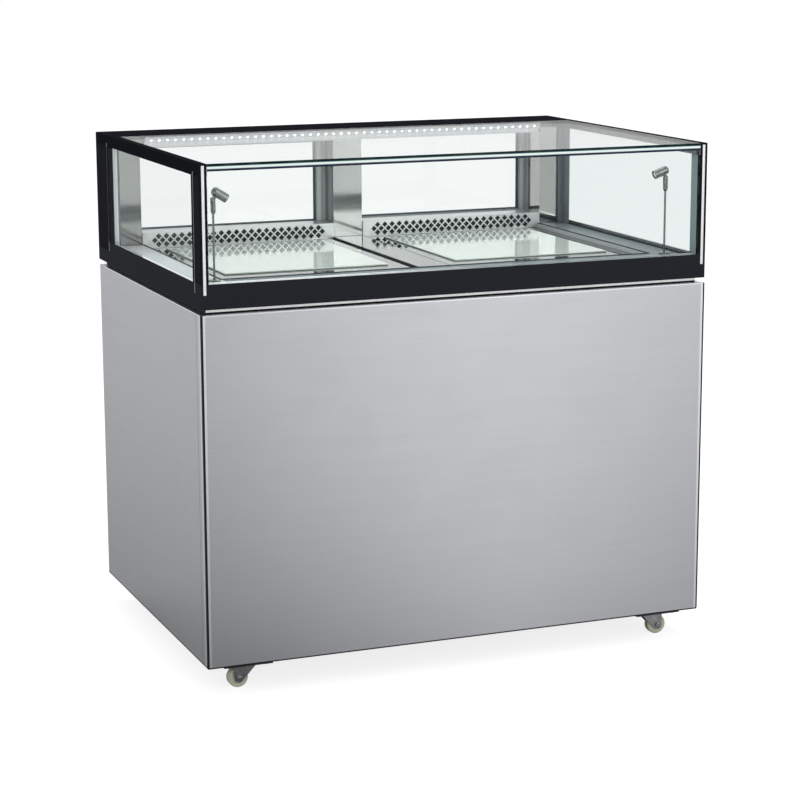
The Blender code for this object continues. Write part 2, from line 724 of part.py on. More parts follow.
def finned_block(name, low, high):
    """Coil block with shallow grooves between its fins on the two faces that air passes."""
    block = box_piece(name, "fins", low, high)
    count = int((high[0] - low[0]) / FIN_PITCH)
    first = (low[0] + high[0]) / 2 - FIN_PITCH * (count - 1) / 2

    def grooves(bm):
        for index in range(count):
            x = first + index * FIN_PITCH
            for near, far in ((low[1] - REACH, low[1] + FIN_GROOVE_DEPTH),
                              (high[1] - FIN_GROOVE_DEPTH, high[1] + REACH)):
                add_box(bm, (x - FIN_GROOVE / 2, near, low[2] - REACH),
                        (x + FIN_GROOVE / 2, far, high[2] + REACH))

    shape(block, "DIFFERENCE", grooves)
    return block


def condenser():
    """Condenser coil behind the louvres, with the gas line from the compressor."""
    floor = BAY_FLOOR + CLEARANCE
    end = COIL_X + COIL_WIDTH / 2
    block = finned_block("condenser_coil",
                         (COIL_X - COIL_WIDTH / 2, COIL_Y - COIL_DEPTH / 2, floor),
                         (end, COIL_Y + COIL_DEPTH / 2, floor + COIL_HEIGHT))
    stub = COMPRESSOR_X - COMPRESSOR_RADIUS - STUB_LENGTH - CLEARANCE
    turn = stub - 2 * PIPE_BEND
    route = [(stub, COMPRESSOR_Y, stub_height()), (turn, COMPRESSOR_Y, stub_height()),
             (turn, COIL_Y, stub_height()), (end - OVERLAP, COIL_Y, stub_height())]
    shape(block, "UNION", lambda bm: add_pipe(bm, route, PIPE_RADIUS, PIPE_BEND, SMALL_ROUND))


def fan(words, place, size, depth, opening, hub, hub_length, motor, motor_length, chord):
    """Fan frame with a motor on a cross of struts, and a bladed wheel on the motor's shaft."""
    half = size / 2
    housing = make(words + "_housing", "black_plastic",
                   lambda bm: add_box(bm, (-half, -half, 0.0), (half, half, depth)), place)
    shape(housing, "DIFFERENCE", lambda bm: add_rod(bm, opening, -REACH, depth + REACH, ROUND))
    reach = opening + OVERLAP
    strut = motor_length / 2
    shape(housing, "UNION",
          lambda bm: add_box(bm, (-reach, -FAN_STRUT / 2, OVERLAP / 2), (reach, FAN_STRUT / 2, strut)))
    shape(housing, "UNION",
          lambda bm: add_box(bm, (-FAN_STRUT / 2, -reach, OVERLAP / 4),
                             (FAN_STRUT / 2, reach, strut - OVERLAP / 4)))
    hub_start = motor_length + CLEARANCE
    shaft_end = motor_length + hub_length / 2
    nose = [(0.0, 0.0), (motor, 0.0), (motor, motor_length), (FAN_SHAFT, motor_length),
            (FAN_SHAFT, shaft_end), (0.0, shaft_end)]
    shape(housing, "UNION", lambda bm: add_turned(bm, nose, FINE_ROUND))
    bore = FAN_SHAFT + CLEARANCE
    bore_end = shaft_end + CLEARANCE
    hub_end = hub_start + hub_length
    wheel = [(0.0, bore_end), (bore, bore_end), (bore, hub_start), (hub, hub_start), (hub, hub_end),
             (0.0, hub_end)]
    blade = make(words + "_blade", "black_plastic", lambda bm: add_turned(bm, wheel, FINE_ROUND), place, True)
    tip = opening - FAN_TIP_GAP

    def blades(bm):
        for index in range(FAN_BLADES):
            angle = 2 * pi * index / FAN_BLADES
            before = set(bm.verts)
            add_box(bm, (hub - 2 * OVERLAP, -chord / 2, -BLADE_THICKNESS / 2),
                    (tip, chord / 2, BLADE_THICKNESS / 2))
            fresh = [vert for vert in bm.verts if vert not in before]
            turn = (Matrix.Translation((0.0, 0.0, hub_start + hub_length / 2))
                    @ Matrix.Rotation(angle, 4, "Z")
                    @ Matrix.Rotation(radians(BLADE_PITCH), 4, "X"))
            bmesh.ops.transform(bm, matrix=turn, verts=fresh)

    shape(blade, "UNION", blades)


def condenser_fan_place():
    """Motor plane of the condenser fan; it blows along +Y into the coil."""
    floor = BAY_FLOOR + CLEARANCE
    y = COIL_Y - COIL_DEPTH / 2 - CLEARANCE - FAN_FRAME_DEPTH
    place = Matrix.Translation((COIL_X, y, floor + FAN_FRAME / 2))
    return place @ Matrix.Rotation(-pi / 2, 4, "X")


def tub_fan_place():
    """Motor plane of the evaporator fan; it blows along +Y into the evaporator."""
    floor = TUB_FLOOR + CLEARANCE
    y = EVAPORATOR_Y - EVAPORATOR_DEPTH / 2 - CLEARANCE - TUB_FAN_DEPTH
    place = Matrix.Translation((EVAPORATOR_X, y, floor + TUB_FAN_FRAME / 2))
    return place @ Matrix.Rotation(-pi / 2, 4, "X")


def fans():
    """Condenser fan in the machine bay and evaporator fan in the tub."""
    fan("condenser_fan", condenser_fan_place(), FAN_FRAME, FAN_FRAME_DEPTH, FAN_OPENING,
        FAN_HUB, FAN_HUB_LENGTH, FAN_MOTOR, FAN_MOTOR_LENGTH, BLADE_CHORD)
    fan("evaporator_fan", tub_fan_place(), TUB_FAN_FRAME, TUB_FAN_DEPTH, TUB_FAN_OPENING,
        TUB_FAN_HUB, TUB_FAN_HUB_LENGTH, TUB_FAN_MOTOR, TUB_FAN_MOTOR_LENGTH, TUB_BLADE_CHORD)


def evaporator_end():
    """X of the evaporator's pipe end."""
    return EVAPORATOR_X + EVAPORATOR_WIDTH / 2


def evaporator():
    """Evaporator coil on the floor of the tub."""
    floor = TUB_FLOOR + CLEARANCE
    finned_block("evaporator_coil",
                 (EVAPORATOR_X - EVAPORATOR_WIDTH / 2, EVAPORATOR_Y - EVAPORATOR_DEPTH / 2, floor),
                 (evaporator_end(), EVAPORATOR_Y + EVAPORATOR_DEPTH / 2, floor + EVAPORATOR_HEIGHT))


def suction_line():
    """Copper line from the compressor, up through the tub floor, to the evaporator."""
    stub = COMPRESSOR_X + COMPRESSOR_RADIUS + STUB_LENGTH + CLEARANCE
    riser = suction_riser_x()
    level = TUB_FLOOR + EVAPORATOR_HEIGHT / 2 + PIPE_BEND / 2
    route = [(stub, COMPRESSOR_Y, stub_height()), (riser, COMPRESSOR_Y, stub_height()),
             (riser, COMPRESSOR_Y, level), (riser, EVAPORATOR_Y, level),
             (evaporator_end() + CLEARANCE, EVAPORATOR_Y, level)]
    make("suction_line", "copper",
         lambda bm: add_pipe(bm, route, PIPE_RADIUS, PIPE_BEND, SMALL_ROUND), smooth=True)


def rocker_axis_y():
    """Y of the rocking axis, a little below the face of the control plate."""
    return REAR_FACE + CLEARANCE + CONTROL_PLATE - ROCKER_DEPTH / 2 - ROCKER_SINK


def rocker_place():
    """Rocking axis of the light switch, with the rocker tipped to its on side."""
    place = Matrix.Translation((CONTROL_X + ROCKER_OFFSET, rocker_axis_y(), CONTROL_Z))
    return place @ Matrix.Rotation(radians(ROCKER_ANGLE), 4, "X")


def controls():
    """Temperature controller on the back panel, with a light switch rocker in its plate."""
    face = REAR_FACE + CLEARANCE
    half_width = CONTROL_WIDTH / 2
    half_height = CONTROL_HEIGHT / 2
    panel = box_piece("temperature_controller", "black_plastic",
                      (CONTROL_X - half_width, face, CONTROL_Z - half_height),
                      (CONTROL_X + half_width, face + CONTROL_PLATE, CONTROL_Z + half_height))
    fuse_box(panel,
             (CONTROL_X - half_width + CONTROL_BORDER, face - CONTROL_BODY_DEPTH,
              CONTROL_Z - half_height + CONTROL_BORDER),
             (CONTROL_X + half_width - CONTROL_BORDER, face + CONTROL_PLATE / 2,
              CONTROL_Z + half_height - CONTROL_BORDER))
    x = CONTROL_X + ROCKER_OFFSET
    pocket_width = ROCKER_WIDTH / 2 + CLEARANCE
    pocket_height = ROCKER_HEIGHT / 2 + ROCKER_PLAY
    cut_box(panel, (x - pocket_width, face + CONTROL_PLATE - 2 * ROCKER_DEPTH, CONTROL_Z - pocket_height),
            (x + pocket_width, face + REACH, CONTROL_Z + pocket_height))
    across = Matrix.Translation((x, rocker_axis_y(), CONTROL_Z)) @ Matrix.Rotation(pi / 2, 4, "Y")
    socket = ROCKER_WIDTH / 2 + ROCKER_STUB + 2 * CLEARANCE
    shape(panel, "DIFFERENCE",
          lambda bm: add_rod(bm, ROCKER_PIVOT + CLEARANCE, -socket, socket, SMALL_ROUND, across))
    rocker()


def rocker():
    """Light switch rocker: a shallow vee on a cross pin."""
    half = ROCKER_HEIGHT / 2
    crest = ROCKER_DEPTH / 2 + ROCKER_PROUD
    valley = ROCKER_DEPTH / 2 - ROCKER_PROUD
    outline = [(-ROCKER_DEPTH / 2, -half / 2), (valley, -half), (crest, -half + ROCKER_PROUD),
               (valley, 0.0), (crest, half - ROCKER_PROUD), (valley, half), (-ROCKER_DEPTH / 2, half / 2)]
    body = make("light_switch_rocker", "black_plastic",
                lambda bm: add_prism(bm, outline, -ROCKER_WIDTH / 2, ROCKER_WIDTH / 2, "X"), rocker_place())
    pin = ROCKER_WIDTH / 2 + ROCKER_STUB
    across = Matrix.Rotation(pi / 2, 4, "Y")
    shape(body, "UNION", lambda bm: add_rod(bm, ROCKER_PIVOT, -pin, pin, SMALL_ROUND, across))


def power_inlet():
    """Recessed mains inlet on the back panel."""
    face = REAR_FACE + CLEARANCE
    half_width = INLET_WIDTH / 2
    half_height = INLET_HEIGHT / 2
    inlet = box_piece("power_inlet", "black_plastic",
                      (INLET_X - half_width, face, INLET_Z - half_height),
                      (INLET_X + half_width, face + INLET_PLATE, INLET_Z + half_height))
    fuse_box(inlet,
             (INLET_X - half_width + INLET_BORDER, face - INLET_DEPTH, INLET_Z - half_height + INLET_BORDER),
             (INLET_X + half_width - INLET_BORDER, face + INLET_PLATE / 2,
              INLET_Z + half_height - INLET_BORDER))
    rim = INLET_BORDER + INLET_WALL
    cut_box(inlet,
            (INLET_X - half_width + rim, face - INLET_DEPTH + INLET_WALL, INLET_Z - half_height + rim),
            (INLET_X + half_width - rim, face + REACH, INLET_Z + half_height - rim))


# Showcase frame and glass

def track_fins(bm, start, end):
    """Three upright fins that make two sliding channels."""
    for index in range(3):
        y = TRACK_FRONT + index * TRACK_PITCH
        add_box(bm, (-TRACK_SIDE, y, start), (TRACK_SIDE, y + TRACK_FIN, end))


def display_base_frame():
    """Lower frame of the showcase: a band below the glass, tray recesses, air slots and the door track."""
    sill = box_piece("display_base_frame", "black_paint", (LEFT, FRONT, NECK_TOP), (RIGHT, BACK, BAND_TOP))
    over = BAND_TOP + REACH
    cut_box(sill, (-SIDE_INNER_FACE, GLASS_INNER_FACE, SILL_TOP), (SIDE_INNER_FACE, BACK + REACH, over))
    cut_box(sill, (LEFT - REACH, CHEEK_FRONT - CLEARANCE, SILL_TOP), (RIGHT + REACH, BACK + REACH, over))
    for side in (-1, 1):
        recess = mirrored(side, BAR_EDGE, TRAY_EDGE + CLEARANCE)
        cut_box(sill, (recess[0], DECK_FRONT - CLEARANCE, LIP_TOP), (recess[1], POST_FRONT, SILL_TOP + REACH))
        well = mirrored(side, BAR_EDGE + DECK_LIP, TRAY_EDGE - DECK_LIP)
        cut_box(sill, (well[0], DECK_FRONT + DECK_LIP, NECK_TOP - REACH),
                (well[1], POST_FRONT - DECK_LIP, SILL_TOP + REACH))
        slot = mirrored(side, AIR_SLOT_INNER, AIR_SLOT_OUTER)
        start = POST_FRONT + AIR_SLOT_SETBACK
        cut_box(sill, (slot[0], start, NECK_TOP - REACH), (slot[1], start + AIR_SLOT_DEPTH, SILL_TOP + REACH))
    bar = BAR_EDGE - CLEARANCE
    fuse_box(sill, (-bar, DECK_FRONT, SILL_TOP - OVERLAP), (bar, TRAY_REAR, DECK_TOP + DECK_BAR_RISE))
    shape(sill, "UNION", lambda bm: track_fins(bm, SILL_TOP - OVERLAP, SILL_TOP + TRACK_BOTTOM_HEIGHT))


def top_frame():
    """Black frame along the sides and the back of the top glass, with the upper door track."""
    rail = box_piece("top_frame", "black_paint", (LEFT, FRONT, RAIL_BOTTOM), (RIGHT, BACK, CASE_TOP))
    pocket = RIGHT - TOP_UPSTAND
    cut_box(rail, (-pocket, FRONT - REACH, GLASS_TOP), (pocket, BACK - TOP_UPSTAND, CASE_TOP + REACH))
    opening = RIGHT - TOP_RAIL_WIDTH
    cut_box(rail, (-opening, FRONT - REACH, RAIL_BOTTOM - REACH), (opening, POST_FRONT, CASE_TOP + REACH))
    cut_box(rail, (-POST_EDGE, FRONT - REACH, RAIL_BOTTOM - REACH),
            (POST_EDGE, GLASS_INNER_FACE + CLEARANCE, CASE_TOP + REACH))
    shape(rail, "UNION", lambda bm: track_fins(bm, RAIL_BOTTOM - TRACK_TOP_HEIGHT, RAIL_BOTTOM + OVERLAP))


def posts():
    """Front corner posts, rear corner posts and the centre post."""
    bottom = SILL_TOP + CLEARANCE
    top = RAIL_BOTTOM - CLEARANCE
    for word, side in SIDES:
        across = mirrored(side, POST_EDGE, RIGHT)
        box_piece(word + "_front_post", "black_paint",
                  (across[0], FRONT, BAND_TOP + CLEARANCE), (across[1], FRONT + FRONT_POST_DEPTH, top))
        inner = SIDE_INNER_FACE - CLEARANCE
        cheek = RIGHT - CHEEK
        plan = [(RIGHT, CHEEK_FRONT), (RIGHT, BACK), (cheek, BACK), (cheek, POST_BACK),
                (POST_INNER, POST_BACK), (POST_INNER, POST_FRONT), (inner, POST_FRONT), (inner, CHEEK_FRONT)]
        outline = [(side * x, y) for x, y in plan]
        make(word + "_rear_post", "polished_steel",
             lambda bm, outline=outline: add_prism(bm, outline, bottom, top, "Z"))
    box_piece("centre_rear_post", "polished_steel",
              (-BAR_EDGE, POST_FRONT, bottom), (BAR_EDGE, POST_BACK, top))


def glazing():
    """Front, side and top glass."""
    bottom = BAND_TOP + CLEARANCE
    edge = POST_EDGE - CLEARANCE
    box_piece("front_glass", "clear_glass",
              (-edge, FRONT, bottom), (edge, GLASS_INNER_FACE, GLASS_TOP))
    for word, side in SIDES:
        across = mirrored(side, SIDE_INNER_FACE, RIGHT)
        box_piece(word + "_side_glass", "clear_glass",
                  (across[0], FRONT + FRONT_POST_DEPTH + CLEARANCE, bottom),
                  (across[1], CHEEK_FRONT - CLEARANCE, RAIL_BOTTOM - CLEARANCE))
    pocket = RIGHT - TOP_UPSTAND - CLEARANCE
    box_piece("top_glass", "clear_glass",
              (-pocket, FRONT, GLASS_TOP + CLEARANCE), (pocket, BACK - TOP_UPSTAND - CLEARANCE, CASE_TOP))


def light_bar():
    """Light bar below the top glass, along the front of the rear rail."""
    back = POST_FRONT - CLEARANCE
    top = GLASS_TOP - CLEARANCE
    low = top - LIGHT_BAR_HEIGHT
    outline = [(back, low), (back, top), (back - LIGHT_BAR_DEPTH, top),
               (back - LIGHT_BAR_DEPTH, top - LIGHT_BAR_FACE), (back - LIGHT_BAR_DEPTH / 2, low)]
    half = POST_INNER - LIGHT_BAR_END_GAP
    make("led_bar", "lamp_white", lambda bm: add_prism(bm, outline, -half, half, "X"))


# Sliding doors

def door(word, side, channel):
    """One framed sliding door: a grooved frame and the pane that sits in its groove."""
    left, right = mirrored(side, DOOR_INNER_EDGE, DOOR_OUTER_EDGE)
    front = TRACK_FRONT + TRACK_FIN + channel * TRACK_PITCH + DOOR_PLAY
    back = front + DOOR_THICKNESS
    middle = (front + back) / 2
    groove = DOOR_GLASS / 2 + CLEARANCE
    section = [(0.0, front), (1.0, front), (1.0, middle - groove), (None, middle - groove),
               (None, middle + groove), (1.0, middle + groove), (1.0, back), (0.0, back)]

    def ring(share, y):
        deep = DOOR_GROOVE if share is None else 0.0
        share = 1.0 if share is None else share
        stile = share * DOOR_STILE - deep
        low = share * DOOR_BOTTOM_RAIL - deep
        high = share * DOOR_TOP_RAIL - deep
        return [(left + stile, y, DOOR_BOTTOM + low), (right - stile, y, DOOR_BOTTOM + low),
                (right - stile, y, DOOR_TOP - high), (left + stile, y, DOOR_TOP - high)]

    def frame_mesh(bm):
        loops = [[bm.verts.new(point) for point in ring(*pair)] for pair in section]
        for index, loop in enumerate(loops):
            following = loops[(index + 1) % len(loops)]
            for corner in range(4):
                after = (corner + 1) % 4
                bm.faces.new((loop[corner], loop[after], following[after], following[corner]))

    frame = make(word + "_door_frame", "door_aluminium", frame_mesh)
    pull_x = side * (DOOR_OUTER_EDGE - DOOR_STILE / 2)
    pull_z = (DOOR_BOTTOM + DOOR_TOP) / 2
    cut_box(frame,
            (pull_x - FINGER_PULL_WIDTH / 2, back - FINGER_PULL_DEPTH, pull_z - FINGER_PULL_HEIGHT / 2),
            (pull_x + FINGER_PULL_WIDTH / 2, back + REACH, pull_z + FINGER_PULL_HEIGHT / 2))
    tuck = DOOR_GROOVE - DOOR_GLASS_EDGE
    box_piece(word + "_door_glass", "clear_glass",
              (left + DOOR_STILE - tuck, middle - DOOR_GLASS / 2, DOOR_BOTTOM + DOOR_BOTTOM_RAIL - tuck),
              (right - DOOR_STILE + tuck, middle + DOOR_GLASS / 2, DOOR_TOP - DOOR_TOP_RAIL + tuck))


def doors():
    """The left door runs in the inner channel and the right door in the outer one."""
    for channel, (word, side) in enumerate(SIDES):
        door(word, side, channel)


# Deck

def deck():
    """Trays on both sides of the bar of the lower frame, each with a white glass panel."""
    for word, side in SIDES:
        left, right = mirrored(side, BAR_EDGE + CLEARANCE, TRAY_EDGE)
        tray = box_piece(word + "_deck_tray", "deck_steel",
                         (left, DECK_FRONT, DECK_TOP - TRAY_HEIGHT), (right, TRAY_REAR, DECK_TOP))
        cut_box(tray, (left + SHEET, DECK_FRONT + SHEET, DECK_TOP - TRAY_HEIGHT - REACH),
                (right - SHEET, TRAY_REAR - SHEET, DECK_TOP - SHEET))
        low, high = mirrored(side, PANEL_INNER, PANEL_OUTER)
        panel = box_piece(word + "_deck_glass", "white_glass",
                          (low, PANEL_FRONT, DECK_TOP + CLEARANCE), (high, PANEL_REAR, DECK_TOP + PANEL_RISE))
        bevel = panel.modifiers.new("eased_edges", "BEVEL")
        bevel.width = PANEL_BEVEL
        bevel.segments = 1


def front_ledge():
    """Folded ledge round the trays: behind the front glass and along both side glasses."""
    edge = SIDE_INNER_FACE - CLEARANCE
    bottom = SILL_TOP + CLEARANCE
    ledge = box_piece("front_ledge", "deck_steel",
                      (-edge, GLASS_INNER_FACE + CLEARANCE, bottom), (edge, TRAY_REAR, LEDGE_TOP))
    inner = TRAY_EDGE + 2 * CLEARANCE
    start = DECK_FRONT - 2 * CLEARANCE
    cut_box(ledge, (-inner, start, bottom - REACH), (inner, TRAY_REAR + REACH, LEDGE_TOP + REACH))
    fold = start - SHEET
    ceiling = LEDGE_TOP - SHEET
    cut_box(ledge, (-edge - REACH, FRONT, bottom - REACH), (edge + REACH, fold, ceiling))
    for side in (-1, 1):
        hollow = mirrored(side, inner + SHEET, edge + REACH)
        cut_box(ledge, (hollow[0], fold - OVERLAP, bottom - REACH), (hollow[1], TRAY_REAR + REACH, ceiling))


def air_grilles():
    """Perforated channels between the rear posts, over the air slots."""
    rear = TRACK_FRONT - SHEET
    outline = [(GRILLE_FRONT, DECK_TOP + CLEARANCE), (GRILLE_FRONT, GRILLE_TOP), (rear, GRILLE_TOP),
               (rear, SILL_TOP + CLEARANCE), (rear - SHEET, SILL_TOP + CLEARANCE),
               (rear - SHEET, GRILLE_TOP - SHEET), (GRILLE_FRONT + SHEET, GRILLE_TOP - SHEET),
               (GRILLE_FRONT + SHEET, DECK_TOP + CLEARANCE)]
    for word, side in SIDES:
        inner = BAR_EDGE + GRILLE_END_GAP
        outer = POST_INNER - GRILLE_END_GAP
        left, right = mirrored(side, inner, outer)
        grille = make(word + "_air_grille", "polished_steel",
                      lambda bm, left=left, right=right: add_prism(bm, outline, left, right, "X"))
        shape(grille, "DIFFERENCE", lambda bm, left=left, right=right: diamonds(bm, left, right))


def diamonds(bm, left, right):
    """Staggered rows of diamond holes."""
    half = DIAMOND_WIDTH / 2
    middle = (DECK_TOP + GRILLE_TOP) / 2
    step = DIAMOND_PITCH / 2
    room = right - left - 2 * (half + DIAMOND_MARGIN)
    for row in range(DIAMOND_ROWS):
        z = middle + (row - (DIAMOND_ROWS - 1) / 2) * step
        count = 2 * int(room / DIAMOND_PITCH / 2) + row % 2
        first = (left + right) / 2 - DIAMOND_PITCH * (count - 1) / 2
        for index in range(count):
            x = first + index * DIAMOND_PITCH
            outline = [(x - half, z), (x, z - half), (x + half, z), (x, z + half)]
            add_prism(bm, outline, GRILLE_FRONT - REACH, GRILLE_FRONT + 2 * SHEET, "Y")


# Spotlights

def spotlight(word, x, aim, tilt):
    """One spotlight: a stand, a sleeve that turns on it and a head that tilts in the sleeve."""
    base = LEDGE_TOP + CLEARANCE
    pole_top = base + SPOT_BASE_HEIGHT + SPOT_POLE_LENGTH
    spigot = SPOT_POLE_RADIUS
    spigot_top = pole_top + SPOT_SPIGOT
    stand = [(0.0, base), (SPOT_BASE_RADIUS, base), (SPOT_BASE_RADIUS, base + SPOT_BASE_HEIGHT / 2),
             (SPOT_BASE_TOP_RADIUS, base + SPOT_BASE_HEIGHT), (spigot, base + SPOT_BASE_HEIGHT),
             (spigot, spigot_top), (0.0, spigot_top)]
    upright = Matrix.Translation((x, SPOT_Y, 0.0))
    make(word + "_spot_stand", "satin_nickel", lambda bm: add_turned(bm, stand, FINE_ROUND), upright, True)

    turned = upright @ Matrix.Rotation(aim, 4, "Z")
    sleeve_top = pole_top + SPOT_SLEEVE_LENGTH
    radius = SPOT_SLEEVE_RADIUS
    bore = spigot + CLEARANCE
    seat = spigot_top + CLEARANCE
    sleeve = [(0.0, seat), (bore, seat), (bore, pole_top), (radius - SPOT_SLEEVE_TAPER / 2, pole_top),
              (radius, pole_top + SPOT_SLEEVE_TAPER), (radius, sleeve_top), (0.0, sleeve_top)]
    swivel = make(word + "_spot_swivel", "satin_nickel",
                  lambda bm: add_turned(bm, sleeve, FINE_ROUND), turned, True)
    slot = SPOT_SLOT / 2
    cut_box(swivel, (-radius - REACH, -slot, sleeve_top - SPOT_SLOT_DEPTH),
            (radius + REACH, slot, sleeve_top + REACH))
    pivot = sleeve_top - SPOT_PIVOT_DROP
    across = Matrix.Rotation(-pi / 2, 4, "X")
    pin = Matrix.Translation((0.0, 0.0, pivot)) @ across
    half_pin = SPOT_SLOT / 2 + OVERLAP / 2
    shape(swivel, "UNION",
          lambda bm: add_rod(bm, SPOT_PIN_RADIUS, -half_pin, half_pin, SMALL_ROUND, pin))

    tilted = turned @ Matrix.Translation((0.0, 0.0, pivot)) @ Matrix.Rotation(radians(tilt), 4, "Y")
    barrel_axis = Matrix.Translation((0.0, 0.0, SPOT_HEAD_OFFSET)) @ Matrix.Rotation(pi / 2, 4, "Y")
    rear = -SPOT_HEAD_BACK
    mouth = rear + SPOT_HEAD_LENGTH
    lens = mouth - SPOT_LENS_RECESS
    radius = SPOT_HEAD_RADIUS
    barrel = [(0.0, rear), (radius - SPOT_HEAD_ROUND, rear), (radius, rear + SPOT_HEAD_ROUND),
              (radius, mouth), (SPOT_LENS_RADIUS, mouth), (SPOT_LENS_RADIUS, lens), (0.0, lens)]
    head = make(word + "_spot_head", "satin_nickel",
                lambda bm: add_turned(bm, barrel, FINE_ROUND, barrel_axis), tilted, True)
    tongue = SPOT_SLOT / 2 - SPOT_TONGUE_PLAY
    half_width = SPOT_TONGUE_WIDTH / 2
    outline = arc((0.0, 0.0), half_width, 180, 360, ARC_STEPS)
    outline += [(half_width, SPOT_HEAD_OFFSET - SPOT_HEAD_RADIUS / 2),
                (-half_width, SPOT_HEAD_OFFSET - SPOT_HEAD_RADIUS / 2)]
    shape(head, "UNION", lambda bm: add_prism(bm, outline, -tongue, tongue, "Y"))
    shape(head, "DIFFERENCE",
          lambda bm: add_rod(bm, SPOT_PIN_RADIUS + CLEARANCE, -REACH, REACH, SMALL_ROUND, across))


def spotlights():
    """The left head aims along +X and the right head along -X."""
    spotlight("left", LEFT_SPOT_X, 0.0, LEFT_SPOT_TILT)
    spotlight("right", RIGHT_SPOT_X, pi, RIGHT_SPOT_TILT)


# Casters

def caster(word, x, y, trail):
    """One swivel caster: a plate with its pad and kingpin, a fork that turns on it and a wheel."""
    centre = Matrix.Translation((x, y, 0.0))
    half_x = CASTER_PLATE_X / 2
    half_y = CASTER_PLATE_Y / 2
    low = (-half_x, -half_y, PLATE_BOTTOM)
    high = (half_x, half_y, PLATE_TOP)
    plate = make(word + "_caster_plate", "dark_steel", lambda bm: add_box(bm, low, high), centre)
    pad_low = (-half_x, -PLATE_PAD_REACH, PLATE_TOP - OVERLAP / 2)
    pad_high = (half_x, PLATE_PAD_REACH, PLATE_PAD_TOP)
    shape(plate, "UNION", lambda bm: add_box(bm, pad_low, pad_high))
    head = FORK_UNDERSIDE - CLEARANCE
    end = head - KINGPIN_HEAD
    buried = PLATE_BOTTOM + OVERLAP / 2
    post = [(0.0, end), (KINGPIN_HEAD_RADIUS, end), (KINGPIN_HEAD_RADIUS, head), (KINGPIN_RADIUS, head),
            (KINGPIN_RADIUS, RACEWAY_BOTTOM), (RACEWAY_RADIUS, RACEWAY_BOTTOM), (RACEWAY_RADIUS, buried),
            (0.0, buried)]
    shape(plate, "UNION", lambda bm: add_turned(bm, post, FINE_ROUND))

    turned = centre @ Matrix.Rotation(0.0 if trail > 0 else pi, 4, "Z")
    outer = CASTER_TRAIL + FORK_CHEEK_RADIUS
    width = FORK_INNER + FORK_SHEET
    fork = make(word + "_caster_fork", "zinc",
                lambda bm: add_prism(bm, cheek_outline(outer), -width, width, "Y"), turned)
    cut_box(fork, (-FORK_TAIL - REACH, -FORK_INNER, -REACH), (outer + REACH, FORK_INNER, FORK_UNDERSIDE))
    shape(fork, "DIFFERENCE",
          lambda bm: add_rod(bm, KINGPIN_RADIUS + CLEARANCE, 0.0, FORK_TOP + REACH, FINE_ROUND))
    axle_place = Matrix.Translation((CASTER_TRAIL, 0.0, WHEEL_RADIUS)) @ Matrix.Rotation(-pi / 2, 4, "X")
    tip = width + AXLE_HEAD
    sunk = width - OVERLAP / 2
    axle = [(0.0, -tip), (AXLE_HEAD_RADIUS, -tip), (AXLE_HEAD_RADIUS, -sunk), (AXLE_RADIUS, -sunk),
            (AXLE_RADIUS, sunk), (AXLE_HEAD_RADIUS, sunk), (AXLE_HEAD_RADIUS, tip), (0.0, tip)]
    shape(fork, "UNION", lambda bm: add_turned(bm, axle, SMALL_ROUND, axle_place))

    half = WHEEL_WIDTH / 2
    hub = half + WHEEL_HUB_PROUD
    bore = AXLE_RADIUS + CLEARANCE
    tread = [(bore, -hub), (WHEEL_HUB_RADIUS, -hub), (WHEEL_HUB_RADIUS + WHEEL_HUB_PROUD, -half),
             (WHEEL_RADIUS - WHEEL_ROUND, -half), (WHEEL_RADIUS, WHEEL_ROUND - half),
             (WHEEL_RADIUS, half - WHEEL_ROUND), (WHEEL_RADIUS - WHEEL_ROUND, half),
             (WHEEL_HUB_RADIUS + WHEEL_HUB_PROUD, half), (WHEEL_HUB_RADIUS, hub), (bore, hub)]
    make(word + "_caster_wheel", "nylon",
         lambda bm: add_turned(bm, tread, ROUND), turned @ axle_place, True)


def cheek_outline(outer):
    """Side view of the fork: square behind the axle and raked in front of it."""
    axle = (CASTER_TRAIL, WHEEL_RADIUS)
    rounded = arc(axle, FORK_CHEEK_RADIUS, 225, 360, ARC_STEPS)
    return rounded + [(outer, FORK_TOP), (-FORK_TAIL, FORK_TOP), (-FORK_TAIL, FORK_UNDERSIDE)]


def casters():
    """Four casters, each trailing outwards."""
    for end, y in (("front", FRONT + CASTER_SETBACK), ("rear", REAR_FACE - CASTER_SETBACK)):
        for word, side in SIDES:
            caster(end + "_" + word, side * CASTER_X, y, side)


clear_scene()
MATERIALS = {name: finish(name, *values) for name, values in FINISHES.items()}
chassis()
front_panel()
side_panels()
rear_panel()
service_grille()
neck()
tub()
compressor()
condenser()
fans()
evaporator()
suction_line()
controls()
power_inlet()
display_base_frame()
top_frame()
posts()
glazing()
light_bar()
doors()
deck()
front_ledge()
air_grilles()
spotlights()
casters()
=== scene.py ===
"""Looks of the glass display counter: trims, lamps, fittings, finishes and the studio stage."""
import json
import math

import bmesh
import bpy
from bpy.props import FloatProperty, FloatVectorProperty, IntProperty, PointerProperty
from mathutils import Matrix, Vector


